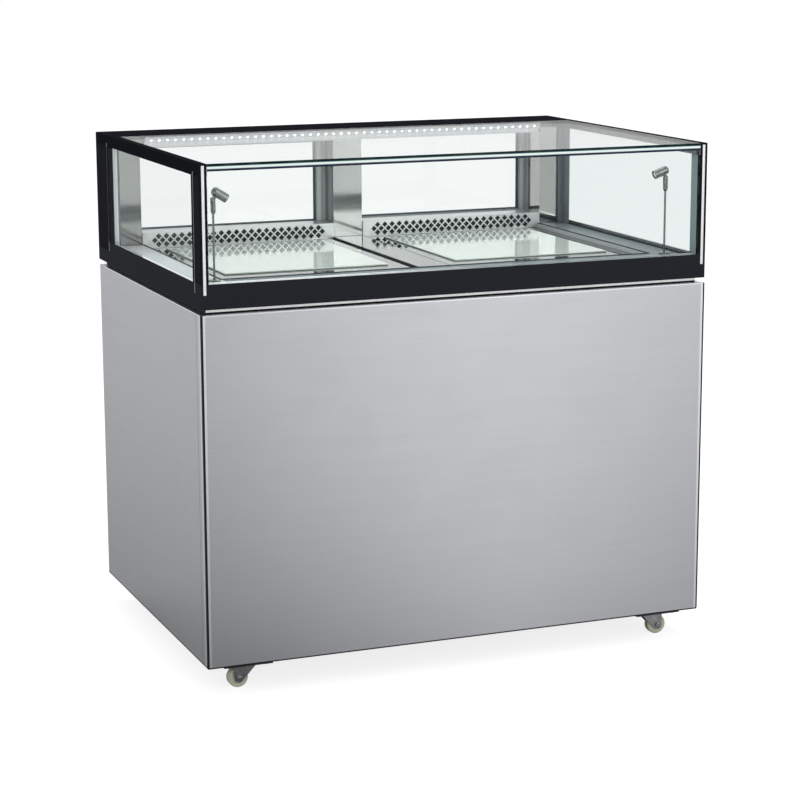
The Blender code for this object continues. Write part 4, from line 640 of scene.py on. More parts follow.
def make_finishes(colours, pitch):
    """Make every finish of the counter by name."""
    grain_group()
    marks_group()
    speckle_group()
    dust_group()
    steel, mirror, black = colours.steel, colours.mirror, colours.frame
    # The pale second tone of the brushed steel is a painted highlight on the base edges
    brushed("brushed steel", steel, second=(painted_rim_highlight, (0.80, 0.82, 0.85)))
    brushed("pressed steel", scaled(steel, 0.6), rough=(0.50, 0.58))
    brushed("polished steel", mirror, dark=0.96, rough=(0.05, 0.09), bump=0.01)
    brushed("grille steel", (0.68, 0.69, 0.69), dark=0.96, rough=(0.30, 0.38), bump=0.01)
    brushed("deck steel", colours.deck, dark=0.97, rough=(0.04, 0.06), stretch=(4.0, 500.0, 4.0),
            bump=0.004)
    # The darker second tone of the ledge is painted shade
    coated("ledge steel", (0.64, 0.66, 0.67), light=1.05, rough=(0.10, 0.16), scale=200.0,
           bump=0.0, level=0.004,
           second=(ledge_shaded, (0.23, 0.26, 0.275)))
    coated("door aluminium", (0.50, 0.535, 0.555), light=1.1, scale=300.0, level=0.3)
    coated("door rib", (0.80, 0.83, 0.85), light=1.06, scale=300.0, level=0.3)
    brushed("spot nickel", (0.24, 0.25, 0.25), rough=(0.24, 0.32), stretch=(60.0, 60.0, 60.0),
            bump=0.03)
    brushed("zinc plate", (0.40, 0.405, 0.415), dark=0.6, rough=(0.18, 0.32),
            stretch=(90.0, 90.0, 90.0), dust=0.3)
    brushed("fin aluminium", (0.62, 0.64, 0.66), rough=(0.35, 0.45), stretch=(600.0, 6.0, 6.0),
            dust=0.5)
    brushed("bare copper", (0.72, 0.36, 0.22), dark=0.7, rough=(0.28, 0.42),
            stretch=(40.0, 40.0, 40.0), dust=0.2)
    coated("border black", scaled(black, 0.45), level=0.0)
    coated("dark steel", (0.030, 0.032, 0.035), rough=(0.40, 0.55), scale=420.0, bump=0.1,
           dust=0.35)
    coated("neck black", (0.010, 0.010, 0.012), rough=(0.35, 0.45), level=0.05)
    coated("black plastic", (0.016, 0.016, 0.018), rough=(0.38, 0.52), scale=900.0, bump=0.1)
    coated("button grey", (0.20, 0.21, 0.22), rough=(0.40, 0.50), scale=900.0, bump=0.08)
    coated("display black", (0.006, 0.007, 0.009), rough=(0.06, 0.10), scale=300.0, bump=0.0,
           coat=0.4)
    # Painted shade in the front corner seams and below the base panels
    coated("seal black", (0.020, 0.021, 0.023), rough=(0.50, 0.62), scale=500.0, bump=0.08,
           level=0.1)
    # Dark grey of the beads and gaskets, and painted shade behind the grille holes
    coated("duct grey", (0.055, 0.060, 0.068), rough=(0.50, 0.62), scale=900.0, bump=0.1,
           level=0.05)
    coated("jamb grey", (0.24, 0.27, 0.29), rough=(0.30, 0.40), scale=500.0, level=0.2)
    coated("seal grey", (0.13, 0.145, 0.155), rough=(0.50, 0.62), scale=500.0, bump=0.08, level=0.1)
    coated("white glass", colours.panel, light=1.04, rough=(0.03, 0.05), scale=60.0, bump=0.0)
    coated("lamp channel", (0.76, 0.77, 0.79), light=1.08, rough=(0.25, 0.35), scale=300.0)
    coated("moulded shell", (0.66, 0.67, 0.65), light=1.12, rough=(0.50, 0.60), scale=250.0,
           bump=0.12, dust=0.15)
    coated("black enamel", (0.014, 0.014, 0.016), rough=(0.22, 0.32), scale=350.0, bump=0.08,
           dust=0.4, coat=0.3)
    coated("cream nylon", colours.wheel, light=1.1, rough=(0.38, 0.50), scale=380.0, bump=0.06)
    coated("brass pin", (0.62, 0.55, 0.34), rough=(0.25, 0.32), scale=300.0, metallic=1.0)
    deep = scaled(black, 0.5)
    two_tone("frame outside, bare inside", top_frame_dark, deep, colours.lining, 0.30, 0.0)
    # The grey-green inside of the front posts and glass borders is a painted reflection in the
    # glass edge
    two_tone("post outside, grey inside", post_dark, deep, (0.34, 0.42, 0.44), 0.40, bareness=0.0)
    two_tone("border outside, grey inside", border_dark, deep, (0.24, 0.30, 0.31), 0.40,
             bareness=0.0)
    two_tone("sill outside, bare inside", sill_dark, black, colours.deck, 0.05)
    two_tone("polished post, black cheek", cheek_dark, deep, mirror, 0.045, 0.0008)
    clear_glass("clear glass", colours.glass, 0.02, 1.05)
    clear_glass("side glass", colours.side, 0.02, 1.03)
    clear_glass("top glass", colours.glass, 0.01, 1.026)
    clear_glass("door glass", (0.930, 0.940, 0.936), 0.03, 1.25)
    # The polished edge of the top glass glows as a painted highlight
    edge_band("polished glass edge")
    lit("small lamp", colours.lamp, 2.6)
    # The lens glows with painted lamp light
    painted_lens_glow("lamp lens", (0.56, 0.57, 0.59), pitch)
    # The strips glow as a painted highlight
    lit("bright strip", (0.90, 0.91, 0.91), 0.42)
    # The bead glows as a painted highlight that fades darker towards the right
    lit("bright bead", (0.90, 0.91, 0.91), 0.42, fade=(-0.25, 0.05, (0.24, 0.27, 0.27)))
    lit("spot lens", (0.86, 0.88, 0.84), 0.25, 0.08)


def finish(name):
    """The finish of that name."""
    return bpy.data.materials[name]


LOOKS = {
    "brushed steel": ("front_panel", "left_side_panel", "right_side_panel", "rear_panel",
                      "service_grille"),
    "polished steel": ("centre_rear_post",),
    "grille steel": ("left_air_grille", "right_air_grille"),
    "polished post, black cheek": ("left_rear_post", "right_rear_post"),
    "frame outside, bare inside": ("top_frame",),
    "sill outside, bare inside": ("display_base_frame",),
    "post outside, grey inside": ("left_front_post", "right_front_post"),
    "neck black": ("neck_plinth",),
    "clear glass": ("front_glass",),
    "side glass": ("left_side_glass", "right_side_glass"),
    "top glass": ("top_glass",),
    "door glass": ("left_door_glass", "right_door_glass"),
    "door aluminium": ("left_door_frame", "right_door_frame"),
    "deck steel": ("left_deck_tray", "right_deck_tray"),
    "ledge steel": ("front_ledge",),
    "white glass": ("left_deck_glass", "right_deck_glass"),
    "lamp channel": ("led_bar",),
    "spot nickel": tuple(side + "_spot_" + part for side in ("left", "right")
                         for part in ("stand", "swivel", "head")),
    "dark steel": ("chassis_frame", *(word + "_caster_plate" for word in CASTERS)),
    "zinc plate": tuple(word + "_caster_fork" for word in CASTERS),
    "cream nylon": tuple(word + "_caster_wheel" for word in CASTERS),
    "moulded shell": ("insulated_tub",),
    "black enamel": ("compressor",),
    "fin aluminium": ("condenser_coil", "evaporator_coil"),
    "bare copper": ("suction_line",),
    "black plastic": ("condenser_fan_housing", "condenser_fan_blade", "evaporator_fan_housing",
                      "evaporator_fan_blade", "temperature_controller", "light_switch_rocker",
                      "power_inlet"),
}


# Operators

class COUNTER_OT_finishes(bpy.types.Operator):
    """Make the finishes and give each solid of the counter its own"""

    bl_idname = "counter.finishes"
    bl_label = "Finishes"

    def execute(self, context):
        make_finishes(context.scene.counter_colours, context.scene.counter_sizes.lamp_pitch)
        dressed = set()
        for look, names in LOOKS.items():
            for name in names:
                for holder in NODES[name].material_slots:
                    holder.material = finish(look)
                dressed.add(name)
        if dressed != set(NODES):
            raise RuntimeError("solids without a finish: %s" % sorted(set(NODES) - dressed))
        return {"FINISHED"}


class COUNTER_OT_case_trims(bpy.types.Operator):
    """Corner strips, side lines, the neck strip, and the edge and rear border of the top glass"""

    bl_idname = "counter.case_trims"
    bl_label = "Case trims"

    def execute(self, context):
        sizes = context.scene.counter_sizes
        for word, side in SIDES:
            self.corner_strip(word, side, sizes)
            self.side_lines(word, side, sizes.trim_width / 2)
        self.neck_strip()
        self.glass_edge()
        self.glass_border()
        return {"FINISHED"}

    def corner_strip(self, word, side, sizes):
        """Upright strip on a front corner, glowing as a painted highlight."""
        top_gap = 0.003
        outer = CASE_RIGHT - sizes.strip_inset
        inner, face = outer - sizes.strip_width, FRONT - sizes.strip_thickness
        strip = side_block(side, (inner, face, SILL_TOP), (outer, FRONT + HAIR, CASE_TOP - top_gap))
        fit(strip, word + "_corner_strip", "bright strip")

    def side_lines(self, word, side, half):
        """Thin upright lines at both ends of a side glass."""
        proud, overlap = 0.0005, 0.007
        for end, middle in (("front", SIDE_GLASS_FRONT), ("rear", SIDE_GLASS_BACK)):
            line = side_block(side, (CASE_RIGHT - HAIR, middle - half, SILL_TOP),
                              (CASE_RIGHT + proud, middle + half, RAIL_BOTTOM + overlap), HAIR)
            fit(line, word + "_" + end + "_side_line", "door aluminium")

    def neck_strip(self):
        """Strip along the front of the recessed neck, glowing as a painted highlight."""
        end_gap, proud, foot = 0.001, 0.0012, 0.0030
        low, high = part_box("neck_plinth")
        strip = block((low.x + end_gap, low.y - proud, low.z + foot),
                      (high.x - end_gap, low.y + HAIR, high.z))
        fit(strip, "neck_strip", "bright strip")

    def glass_edge(self):
        """Polished front edge of the top glass, glowing as a painted highlight."""
        proud = 0.0005
        edge = block((-GLASS_EDGE, FRONT - proud, TOP_GLASS_LOW - EDGE_DROP),
                     (GLASS_EDGE, FRONT + HAIR / 2, CASE_TOP), HAIR)
        fit(edge, "top_glass_edge", "polished glass edge")

    def glass_border(self):
        """Black border along the rear of the top glass."""
        low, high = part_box("top_glass")
        border = block((low.x, REAR_BORDER, CASE_TOP + HAIR / 2),
                       (high.x, high.y, CASE_TOP + 2 * HAIR), HAIR / 4, 1)
        fit(border, "top_glass_border", "border black")


class COUNTER_OT_side_borders(bpy.types.Operator):
    """Dark upright borders on the side glass, and the jambs in the rear corners"""

    bl_idname = "counter.side_borders"
    bl_label = "Side glass borders"

    def execute(self, context):
        rear_start = POST_FRONT + 0.006
        spans = ((SIDE_GLASS_FRONT, SIDE_GLASS_FRONT + context.scene.counter_sizes.border),
                 (rear_start, SIDE_GLASS_BACK))
        for word, side in SIDES:
            parts = [side_block(side, (CASE_RIGHT + HAIR / 2, start, BAND_TOP),
                                (CASE_RIGHT + 3 * HAIR, end, RAIL_BOTTOM), HAIR / 4, 1)
                     for start, end in spans]
            fit(joined(parts), word + "_glass_border", "border outside, grey inside")
            self.jamb(word, side)
        return {"FINISHED"}

    def jamb(self, word, side):
        """Angle profile in the corner between the side glass and the rear post."""
        sheet, flange = 0.0012, 0.0120
        outer, back = SIDE_GLASS_INNER - HAIR, POST_FRONT - HAIR
        floor, top = LEDGE_TOP + HAIR, RAIL_BOTTOM - HAIR
        parts = [side_block(side, (inner, start, floor), (outer, back, top))
                 for inner, start in ((outer - sheet, JAMB_FRONT), (outer - flange, back - sheet))]
        fit(joined(parts), word + "_jamb_lining", "jamb grey")
        facing = side_block(side, (outer, JAMB_FRONT, floor), (outer + HAIR / 2, back, top),
                            HAIR / 8, 1)
        fit(facing, word + "_jamb_facing", "door rib")


class COUNTER_OT_base_trims(bpy.types.Operator):
    """Dark seams at the front corners of the base and a dark edge below its panels, both painted
    shade
    """

    bl_idname = "counter.base_trims"
    bl_label = "Base trims"

    def execute(self, context):
        sizes = context.scene.counter_sizes
        fold = 0.004
        low, high = PANEL_BOTTOM - sizes.hem, PANEL_BOTTOM - HAIR / 2
        hems = []
        for word, side in SIDES:
            face = side_block(side, (CASE_RIGHT - sizes.seam, FRONT - 2 * HAIR, PANEL_BOTTOM),
                              (CASE_RIGHT + 2 * HAIR, FRONT + HAIR, PANEL_TOP), HAIR, 1)
            turn = side_block(side, (CASE_RIGHT - HAIR, FRONT + HAIR, PANEL_BOTTOM),
                              (CASE_RIGHT + 2 * HAIR, FRONT + sizes.seam_side, PANEL_TOP), HAIR, 1)
            fit(joined([face, turn]), word + "_base_seam", "seal black")
            hems.append(side_block(side, (CASE_RIGHT - fold, FRONT + fold, low),
                                   (CASE_RIGHT, REAR_FACE, high)))
        hems.append(block((-CASE_RIGHT, FRONT, low), (CASE_RIGHT, FRONT + fold, high)))
        fit(joined(hems), "base_hem", "seal black")
        return {"FINISHED"}


class COUNTER_OT_deck_beads(bpy.types.Operator):
    """Dark beads round the deck trays, the bead of the front glass and the side gaskets"""

    bl_idname = "counter.deck_beads"
    bl_label = "Deck beads"

    def execute(self, context):
        sizes = context.scene.counter_sizes
        width, rise = sizes.bead_width, sizes.bead_height
        low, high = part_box("right_deck_tray")
        edge, front, rear = high.x + 3 * HAIR, low.y - 3 * HAIR, high.y
        base, top = LEDGE_TOP - HAIR, LEDGE_TOP + rise
        panel_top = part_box("right_deck_glass")[1].z
        beads = [block((-edge - width, front - width, base), (edge + width, front, top), rise / 3)]
        for _, side in SIDES:
            beads.append(side_block(side, (edge, front, base), (edge + width, rear, top), rise / 3))
            beads.append(side_block(side, (low.x, low.y, high.z - HAIR),
                                    (low.x + width / 2, rear, panel_top + HAIR), rise / 4))
        fit(joined(beads), "deck_beads", "duct grey")
        self.glass_bead()
        self.gaskets()
        return {"FINISHED"}

    def glass_bead(self):
        """Bead along the foot of the front glass, glowing as a painted highlight that fades darker
        towards the right.
        """
        depth, rise = 0.0028, 0.0014
        line = block((-GLASS_EDGE, GLASS_BACK + HAIR, BAND_TOP - HAIR),
                     (GLASS_EDGE, GLASS_BACK + depth, BAND_TOP + rise))
        fit(line, "front_glass_bead", "bright bead")

    def gaskets(self):
        """Grey gaskets along the foot of both side glasses."""
        width, rise, front_gap = 0.0030, 0.0020, 0.006
        low = (SIDE_GLASS_INNER - width, GLASS_BACK + front_gap, LEDGE_TOP - HAIR)
        high = (SIDE_GLASS_INNER - HAIR, JAMB_FRONT - HAIR, LEDGE_TOP + rise)
        parts = [side_block(side, low, high) for _, side in SIDES]
        fit(joined(parts), "side_glass_gaskets", "duct grey")


class COUNTER_OT_grille_shade_sheets(bpy.types.Operator):
    """Dark sheets behind the holes of the air grilles, as painted shade"""

    bl_idname = "counter.grille_screens"
    bl_label = "Grille screens"

    def execute(self, context):
        end_gap, foot_gap, head_gap = 0.002, 0.001, 0.0030
        near, far = 0.0030, 0.0040
        for word, _ in SIDES:
            low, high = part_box(word + "_air_grille")
            shade_sheet = block((low.x + end_gap, low.y + near, low.z + foot_gap),
                           (high.x - end_gap, low.y + far, high.z - head_gap), HAIR, 1)
            fit(shade_sheet, word + "_grille_screen", "duct grey")
        return {"FINISHED"}


class COUNTER_OT_light_bar(bpy.types.Operator):
    """Row of small lamps on the slanted face of the light bar, and the lens below them, glowing
    with painted lamp light
    """

    bl_idname = "counter.light_bar"
    bl_label = "Light bar lamps"

    def execute(self, context):
        low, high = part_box("led_bar")
        self.lamps(context.scene.counter_sizes, low, high)
        self.lens(low, high)
        return {"FINISHED"}

    def lamps(self, sizes, low, high):
        """One domed lamp, repeated along the bar."""
        radius, pitch, size = sizes.lamp_radius, sizes.lamp_pitch, high - low
        lamp = turned(((radius, -0.0003), (radius, 0.0008), (radius * 0.8, 0.0015),
                       (radius * 0.4, 0.0019)), 12)
        slant = Vector((0.0, -size.z * 2 / 3, -size.y / 2)).normalized()
        middle = Vector((0.0, low.y + size.y / 4, low.z + size.z / 3))
        first = -pitch * (sizes.lamp_count - 1) / 2
        lamp = aimed(lamp, middle + Vector((first, 0.0, 0.0)), slant)
        row = lamp.modifiers.new("row", "ARRAY")
        row.count = sizes.lamp_count
        row.use_relative_offset = False
        row.use_constant_offset = True
        row.constant_offset_displace = (pitch, 0.0, 0.0)
        bpy.ops.object.modifier_apply(modifier="row")
        fit(lamp, "light_bar_lamps", "small lamp")

    def lens(self, low, high):
        """Upright milky lens below the lamps, glowing with painted lamp light."""
        near, far, drop, overlap = 0.0080, 0.0092, 0.0102, 0.0008
        lens = block((low.x, low.y + near, low.z - drop), (high.x, low.y + far, low.z + overlap),
                     0.0004)
        fit(lens, "light_bar_lens", "lamp lens")


class COUNTER_OT_spotlights(bpy.types.Operator):
    """Lenses of the two spotlights"""

    bl_idname = "counter.spotlights"
    bl_label = "Spotlight lenses"

    def execute(self, context):
        seat_in_head = Vector((0.017, 0.0, 0.0145))
        for word, heading, tilt in (("left", 0.0, 32.0), ("right", math.pi, 20.0)):
            joint = next(item for item in frame["joints"] if item["name"] == word + "_spot_tilt")
            turn = Matrix.Rotation(heading, 4, "Z") @ Matrix.Rotation(math.radians(tilt), 4, "Y")
            turn = turn.to_3x3()
            lens = turned(((0.0062, 0.0), (0.0062, 0.0012), (0.0048, 0.0021), (0.0024, 0.0026)), 24)
            lens = aimed(lens, Vector(joint["pos_m"]) + turn @ seat_in_head,
                         turn @ Vector((1.0, 0.0, 0.0)))
            fit(lens, word + "_spot_lens", "spot lens", word + "_spot_lamp")
        return {"FINISHED"}


class COUNTER_OT_casters(bpy.types.Operator):
    """Bolts of the caster plates and nuts on the wheel axles"""

    bl_idname = "counter.casters"
    bl_label = "Caster fittings"

    def execute(self, context):
        for word in CASTERS:
            self.bolts(word)
            self.nuts(word)
        return {"FINISHED"}

    def bolts(self, word):
        """Four bolt heads below a caster plate."""
        across, along, plate_depth = 0.036, 0.024, 0.0083
        low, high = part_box(word + "_caster_plate")
        middle = (low + high) / 2
        face = PANEL_BOTTOM - plate_depth
        bolt = turned(((0.0048, face + 0.0004), (0.0048, face - 0.0022),
                       (0.0040, face - 0.0030)), 6)
        places = [(middle.x + x, middle.y + y, 0.0)
                  for x in (-across, across) for y in (-along, along)]
        fit(copies(bolt, places), word + "_plate_bolts", "zinc plate")

    def nuts(self, word):
        """A nut at each end of the wheel's axle."""
        low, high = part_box(word + "_caster_wheel")
        hub = (low + high) / 2
        low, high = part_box(word + "_caster_fork")
        caps = []
        for side, face in ((-1, low.y), (1, high.y)):
            cap = turned(((0.0050, -0.0006), (0.0050, 0.0012), (0.0036, 0.0020)), 6)
            caps.append(aimed(cap, (hub.x, face, hub.z), (0.0, side, 0.0)))
        fit(joined(caps), word + "_axle_nuts", "zinc plate", word + "_caster_swivel")


class COUNTER_OT_back(bpy.types.Operator):
    """Louvre hoods, panel screws, controller face and inlet pins on the back"""

    bl_idname = "counter.back"
    bl_label = "Back fittings"

    def execute(self, context):
        self.hoods()
        self.screws(context.scene.counter_sizes.screw_radius)
        self.controller()
        self.inlet()
        return {"FINISHED"}

    def hoods(self):
        """Pressed hood over each louvre slot."""
        half_width, drop, rise, proud = 0.0925, 0.0055, 0.0065, 0.0042
        columns, rows, column_pitch, row_pitch = 4, 10, 0.226, 0.026
        hood = block((-half_width, REAR_FACE - HAIR, -drop), (half_width, REAR_FACE + proud, rise),
                     ROUND, 1)
        bpy.ops.object.mode_set(mode="EDIT")
        pick("edges", lambda edge: all(corner.co.y > REAR_FACE + 0.003 and corner.co.z > 0
                                       for corner in edge.verts))
        bpy.ops.mesh.bevel(offset=0.0034, segments=3, affect="EDGES")
        pick("faces", lambda face: face.normal.z < -0.9)
        bpy.ops.mesh.inset(thickness=0.0008)
        drawn_out((0.0, 0.0, 0.008))
        bpy.ops.object.mode_set(mode="OBJECT")
        low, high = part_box("service_grille")
        left = -column_pitch * (columns - 1) / 2
        first = (low.z + high.z) / 2 - row_pitch * (rows - 1) / 2
        places = [(left + column_pitch * column, 0.0, first + row_pitch * row)
                  for column in range(columns) for row in range(rows)]
        fit(copies(hood, places), "service_grille_hoods", "pressed steel")

    def screws(self, radius):
        """Domed screws along the edges of the two back sheets."""
        margin, slot_depth = 0.014, 0.0009
        columns = (-0.484, -0.242, 0.0, 0.242, 0.484)
        screw = turned(((radius, -HAIR), (radius, 0.0006), (radius * 0.86, 0.0014),
                        (radius * 0.5, 0.0020)), 16)
        bpy.ops.object.mode_set(mode="EDIT")
        pick("faces", lambda face: face.normal.z > 0.9 and face.calc_center_median().z > 0.0015)
        bpy.ops.mesh.inset(thickness=radius * 0.18)
        drawn_out((0.0, 0.0, -slot_depth))
        bpy.ops.object.mode_set(mode="OBJECT")
        screw = aimed(screw, (0.0, REAR_FACE, 0.0), (0.0, 1.0, 0.0))
        levels = []
        for sheet in ("service_grille", "rear_panel"):
            low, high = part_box(sheet)
            levels += [low.z + margin, high.z - margin]
        places = [(x, 0.0, z) for x in columns for z in levels]
        fit(copies(screw, places), "back_panel_screws", "zinc plate")

    def controller(self):
        """Display window and keys of the temperature controller."""
        window_start, window_end, window_half, window_proud = 0.010, 0.052, 0.013, 0.0008
        key_half, key_proud = 0.0042, 0.0011
        key_start, key_pitch, key_offset = 0.0640, 0.0120, 0.007
        low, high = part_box("temperature_controller")
        face, middle = high.y, (low.z + high.z) / 2
        window = block((low.x + window_start, face - HAIR, middle - window_half),
                       (low.x + window_end, face + window_proud, middle + window_half), 0.0004)
        fit(window, "controller_window", "display black")
        key = block((-key_half, face - HAIR, -key_half),
                    (key_half, face + key_proud, key_half), 0.0005)
        bpy.ops.object.mode_set(mode="EDIT")
        pick("faces", lambda item: item.normal.y > 0.9)
        bpy.ops.mesh.inset(thickness=0.0008)
        bpy.ops.transform.translate(value=(0.0, -HAIR, 0.0))
        bpy.ops.object.mode_set(mode="OBJECT")
        places = [(low.x + key_start + key_pitch * column, 0.0, middle + offset)
                  for column in range(3) for offset in (-key_offset, key_offset)]
        fit(copies(key, places), "controller_keys", "button grey")

    def inlet(self):
        """Three flat pins in the mains inlet."""
        half_width, half_height, start, end = 0.0010, 0.0022, 0.0015, 0.020
        low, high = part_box("power_inlet")
        middle = (low + high) / 2
        pin = block((-half_width, low.y + start, -half_height),
                    (half_width, low.y + end, half_height), 0.0004)
        offsets = ((-0.0070, -0.0015), (0.0, 0.0020), (0.0070, -0.0015))
        places = [(middle.x + x, 0.0, middle.z + z) for x, z in offsets]
        fit(copies(pin, places), "inlet_pins", "brass pin")


class COUNTER_OT_door_seals(bpy.types.Operator):
    """Seals round the panes of the sliding doors and ribs on their stiles"""

    bl_idname = "counter.door_seals"
    bl_label = "Door seals"

    def execute(self, context):
        groove, width, proud = 0.0075, 0.0030, 0.0016
        for word, _ in SIDES:
            low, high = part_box(word + "_door_glass")
            left, right = low.x + groove, high.x - groove
            bottom, top = low.z + groove, high.z - groove
            foot = bottom + width
            parts = []
            for near, far in ((low.y - proud, low.y + HAIR), (high.y - HAIR, high.y + proud)):
                parts.append(block((left, near, bottom), (right, far, foot)))
                parts.append(block((left, near, foot), (left + width, far, top)))
                parts.append(block((right - width, near, foot), (right, far, top)))
            fit(joined(parts), word + "_door_seal", "seal grey", word + "_door")
            self.ribs(word, left, right)
        return {"FINISHED"}

    def ribs(self, word, left, right):
        """Raised ribs on the front of the two stiles of a door."""
        end_gap, proud = 0.004, 0.0008
        low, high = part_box(word + "_door_frame")
        parts = []
        for start, end in ((low.x, left), (right, high.x)):
            for place, width in ((0.16, 0.0080), (0.50, 0.0030), (0.78, 0.0090)):
                middle = start + (end - start) * place
                parts.append(block((middle - width / 2, low.y - proud, low.z + end_gap),
                                   (middle + width / 2, low.y + HAIR, high.z - end_gap)))
        fit(joined(parts), word + "_door_ribs", "door rib", word + "_door")


class COUNTER_OT_stage(bpy.types.Operator):
    """Pale floor, soft studio lamps, white surroundings with painted reflection zones, and the
    camera
    """

    bl_idname = "counter.stage"
    bl_label = "Stage"

    def execute(self, context):
        values = context.scene.counter_stage
        self.floor(values)
        self.world(context.scene, values)
        self.lamp("key lamp", (1.1, 1.5, 3.7), 2.6, values.key)
        self.lamp("front lamp", (2.2, -4.5, 1.6), 1.8, values.fill)
        self.camera(context.scene, values)
        context.scene.view_settings.view_transform = "Standard"
        return {"FINISHED"}

    # Levels of the painted reflection zones of the floor, seen only by reflected rays: value at the
    # start and end, and the start and end in metres
    FLOOR_RISE = (0.32, 0.93, 0.2, 3.2)
    FLOOR_LEFT = (0.72, 0.0, -1.18, 0.12)
    FLOOR_RIGHT = (0.0, 0.80, 0.12, 2.12)
    FLOOR_BESIDE = (0.15, 1.0, 0.1, 1.3)
    FLOOR_DRIFT = 0.40
    # Heights and depths over which the painted reflection of the surroundings brightens
    SKY_TOP = 0.62
    BACKDROP_START, BACKDROP_END = 0.45, 0.80
    AIM = Vector((0.0, 0.0, 0.6))

    def floor(self, values):
        """A wide pale floor that the camera sees as white and that keeps a soft shadow, with
        painted bright and dark zones that only reflected rays see.
        """
        clear_selection()
        bpy.ops.mesh.primitive_plane_add(size=60.0)
        floor = bpy.context.object
        floor.name = floor.data.name = "floor"
        material = bpy.data.materials.new("pale floor")
        material.use_nodes = True
        tree = material.node_tree
        tree.nodes.remove(tree.nodes["Principled BSDF"])
        coords, x, y, _ = place_axes(tree)
        cloud = node(tree, "ShaderNodeTexNoise", {"Vector": coords, "Scale": 3.0})
        level = spread(tree, cloud.outputs[0], values.floor * 0.985, values.floor * 1.015)
        matte = node(tree, "ShaderNodeBsdfDiffuse", {"Color": level})
        path = node(tree, "ShaderNodeLightPath").outputs
        # Painted reflection zones for the steel front: brighter further ahead, darker to both sides
        ahead = calc(tree, "SUBTRACT", FRONT, y)
        across = calc(tree, "SUBTRACT", x, times(tree, ahead, self.FLOOR_DRIFT))
        rise = spread(tree, ahead, *self.FLOOR_RISE)
        left = spread(tree, across, *self.FLOOR_LEFT)
        right = spread(tree, across, *self.FLOOR_RIGHT)
        front = calc(tree, "SUBTRACT", rise, calc(tree, "ADD", left, right))
        front = calc(tree, "MAXIMUM", front, 0.0)
        front = times(tree, front, values.sheen)
        beside = calc(tree, "SUBTRACT", -CASE_RIGHT, x)
        flank = times(tree, spread(tree, beside, *self.FLOOR_BESIDE), values.flank)
        painted_reflection_level = spread(tree, over(tree, ahead, 0.0), flank, front)
        seen = calc(tree, "MAXIMUM", path["Is Camera Ray"], path["Is Transmission Ray"])
        mirrored = times(tree, path["Is Glossy Ray"], painted_reflection_level)
        lift = calc(tree, "MAXIMUM", times(tree, seen, values.glow), mirrored)
        glow = node(tree, "ShaderNodeEmission", {"Strength": lift})
        total = node(tree, "ShaderNodeAddShader", {0: matte.outputs[0], 1: glow.outputs[0]})
        tree.links.new(total.outputs[0], tree.nodes["Material Output"].inputs["Surface"])
        floor.data.materials.append(material)

    def world(self, scene, values):
        """White where it is seen, a painted reflection that is darker near the horizon and brighter
        behind where it is mirrored, a plain level where it lights.
        """
        scene.world = bpy.data.worlds.new("studio")
        scene.world.use_nodes = True
        tree = scene.world.node_tree
        path = node(tree, "ShaderNodeLightPath").outputs
        seen = calc(tree, "MAXIMUM", path["Is Camera Ray"], path["Is Transmission Ray"])
        way = node(tree, "ShaderNodeTexCoord").outputs["Generated"]
        _, back, height = node(tree, "ShaderNodeSeparateXYZ", {0: way}).outputs
        mirrored = spread(tree, height, values.horizon, 1.0, 0.0, self.SKY_TOP)
        behind = spread(tree, back, 0.0, values.backdrop, self.BACKDROP_START, self.BACKDROP_END)
        mirrored = calc(tree, "MAXIMUM", mirrored, behind)
        lighting = spread(tree, path["Is Glossy Ray"], values.ambient, mirrored)
        strength = spread(tree, seen, lighting, 1.0)
        tree.links.new(strength, tree.nodes["Background"].inputs["Strength"])
        tree.nodes["Background"].inputs["Color"].default_value = (1.0, 1.0, 1.0, 1.0)

    def lamp(self, name, place, size, power):
        """A square soft lamp that looks at the counter."""
        clear_selection()
        bpy.ops.object.light_add(type="AREA", location=place)
        lamp = bpy.context.object
        lamp.name = name
        lamp.data.size = size
        lamp.data.energy = power
        lamp.rotation_euler = (self.AIM - Vector(place)).to_track_quat("-Z", "Y").to_euler()

    def camera(self, scene, values):
        """The camera at the photographed angle."""
        clear_selection()
        bpy.ops.object.camera_add(location=values.stand)
        camera = bpy.context.object
        camera.name = "camera"
        camera.data.sensor_width = 36.0
        camera.data.lens = values.lens
        heading, pitch = values.heading, values.pitch
        forward = Vector((math.sin(heading) * math.cos(pitch), math.cos(heading) * math.cos(pitch),
                          -math.sin(pitch)))
        right = Vector((math.cos(heading), -math.sin(heading), 0.0))
        up = right.cross(forward)
        right, up = (right * math.cos(values.roll) + up * math.sin(values.roll),
                     up * math.cos(values.roll) - right * math.sin(values.roll))
        camera.rotation_euler = Matrix((right, up, -forward)).transposed().to_euler()
        scene.camera = camera


class COUNTER_PT_panel(bpy.types.Panel):
    """Sidebar panel with the sizes, colours and steps of the counter"""

    bl_idname = "COUNTER_PT_panel"
    bl_label = "Glass Display Counter"
    bl_space_type = "VIEW_3D"
    bl_region_type = "UI"
    bl_category = "Counter"

    def draw(self, context):
        scene = context.scene
        for values in (scene.counter_sizes, scene.counter_colours, scene.counter_stage):
            box = self.layout.box()
            for name in values.__annotations__:
                box.prop(values, name)
        for step in STEPS:
            self.layout.operator(step.bl_idname)


STEPS = (COUNTER_OT_finishes, COUNTER_OT_case_trims, COUNTER_OT_side_borders, COUNTER_OT_base_trims,
         COUNTER_OT_deck_beads, COUNTER_OT_grille_shade_sheets, COUNTER_OT_light_bar,
         COUNTER_OT_spotlights, COUNTER_OT_casters, COUNTER_OT_back, COUNTER_OT_door_seals,
         COUNTER_OT_stage)
GROUPS = (CounterSizes, CounterColours, CounterStage)


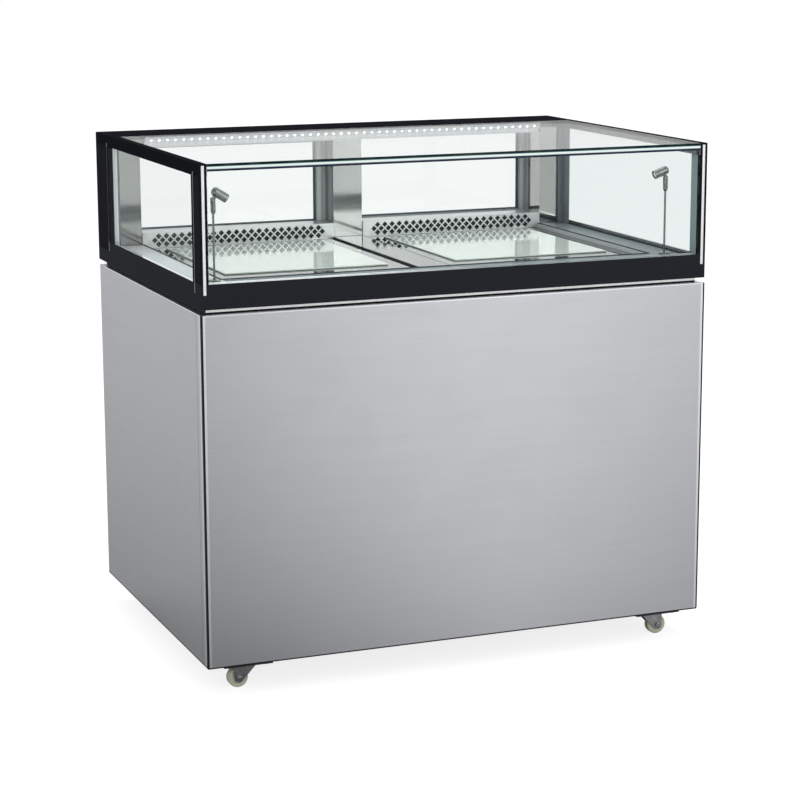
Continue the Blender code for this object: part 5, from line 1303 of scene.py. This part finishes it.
def register():
    """Register the classes and hang the values on the scene."""
    for item in (*GROUPS, *STEPS, COUNTER_PT_panel):
        bpy.utils.register_class(item)
    bpy.types.Scene.counter_sizes = PointerProperty(type=CounterSizes)
    bpy.types.Scene.counter_colours = PointerProperty(type=CounterColours)
    bpy.types.Scene.counter_stage = PointerProperty(type=CounterStage)


def unregister():
    """Take the values off the scene and remove the classes."""
    del bpy.types.Scene.counter_stage
    del bpy.types.Scene.counter_colours
    del bpy.types.Scene.counter_sizes
    for item in reversed((*GROUPS, *STEPS, COUNTER_PT_panel)):
        bpy.utils.unregister_class(item)


def main():
    """Run every step in order."""
    register()
    for step in STEPS:
        family, name = step.bl_idname.split(".")
        getattr(getattr(bpy.ops, family), name)()


if __name__ == "__main__":
    main()
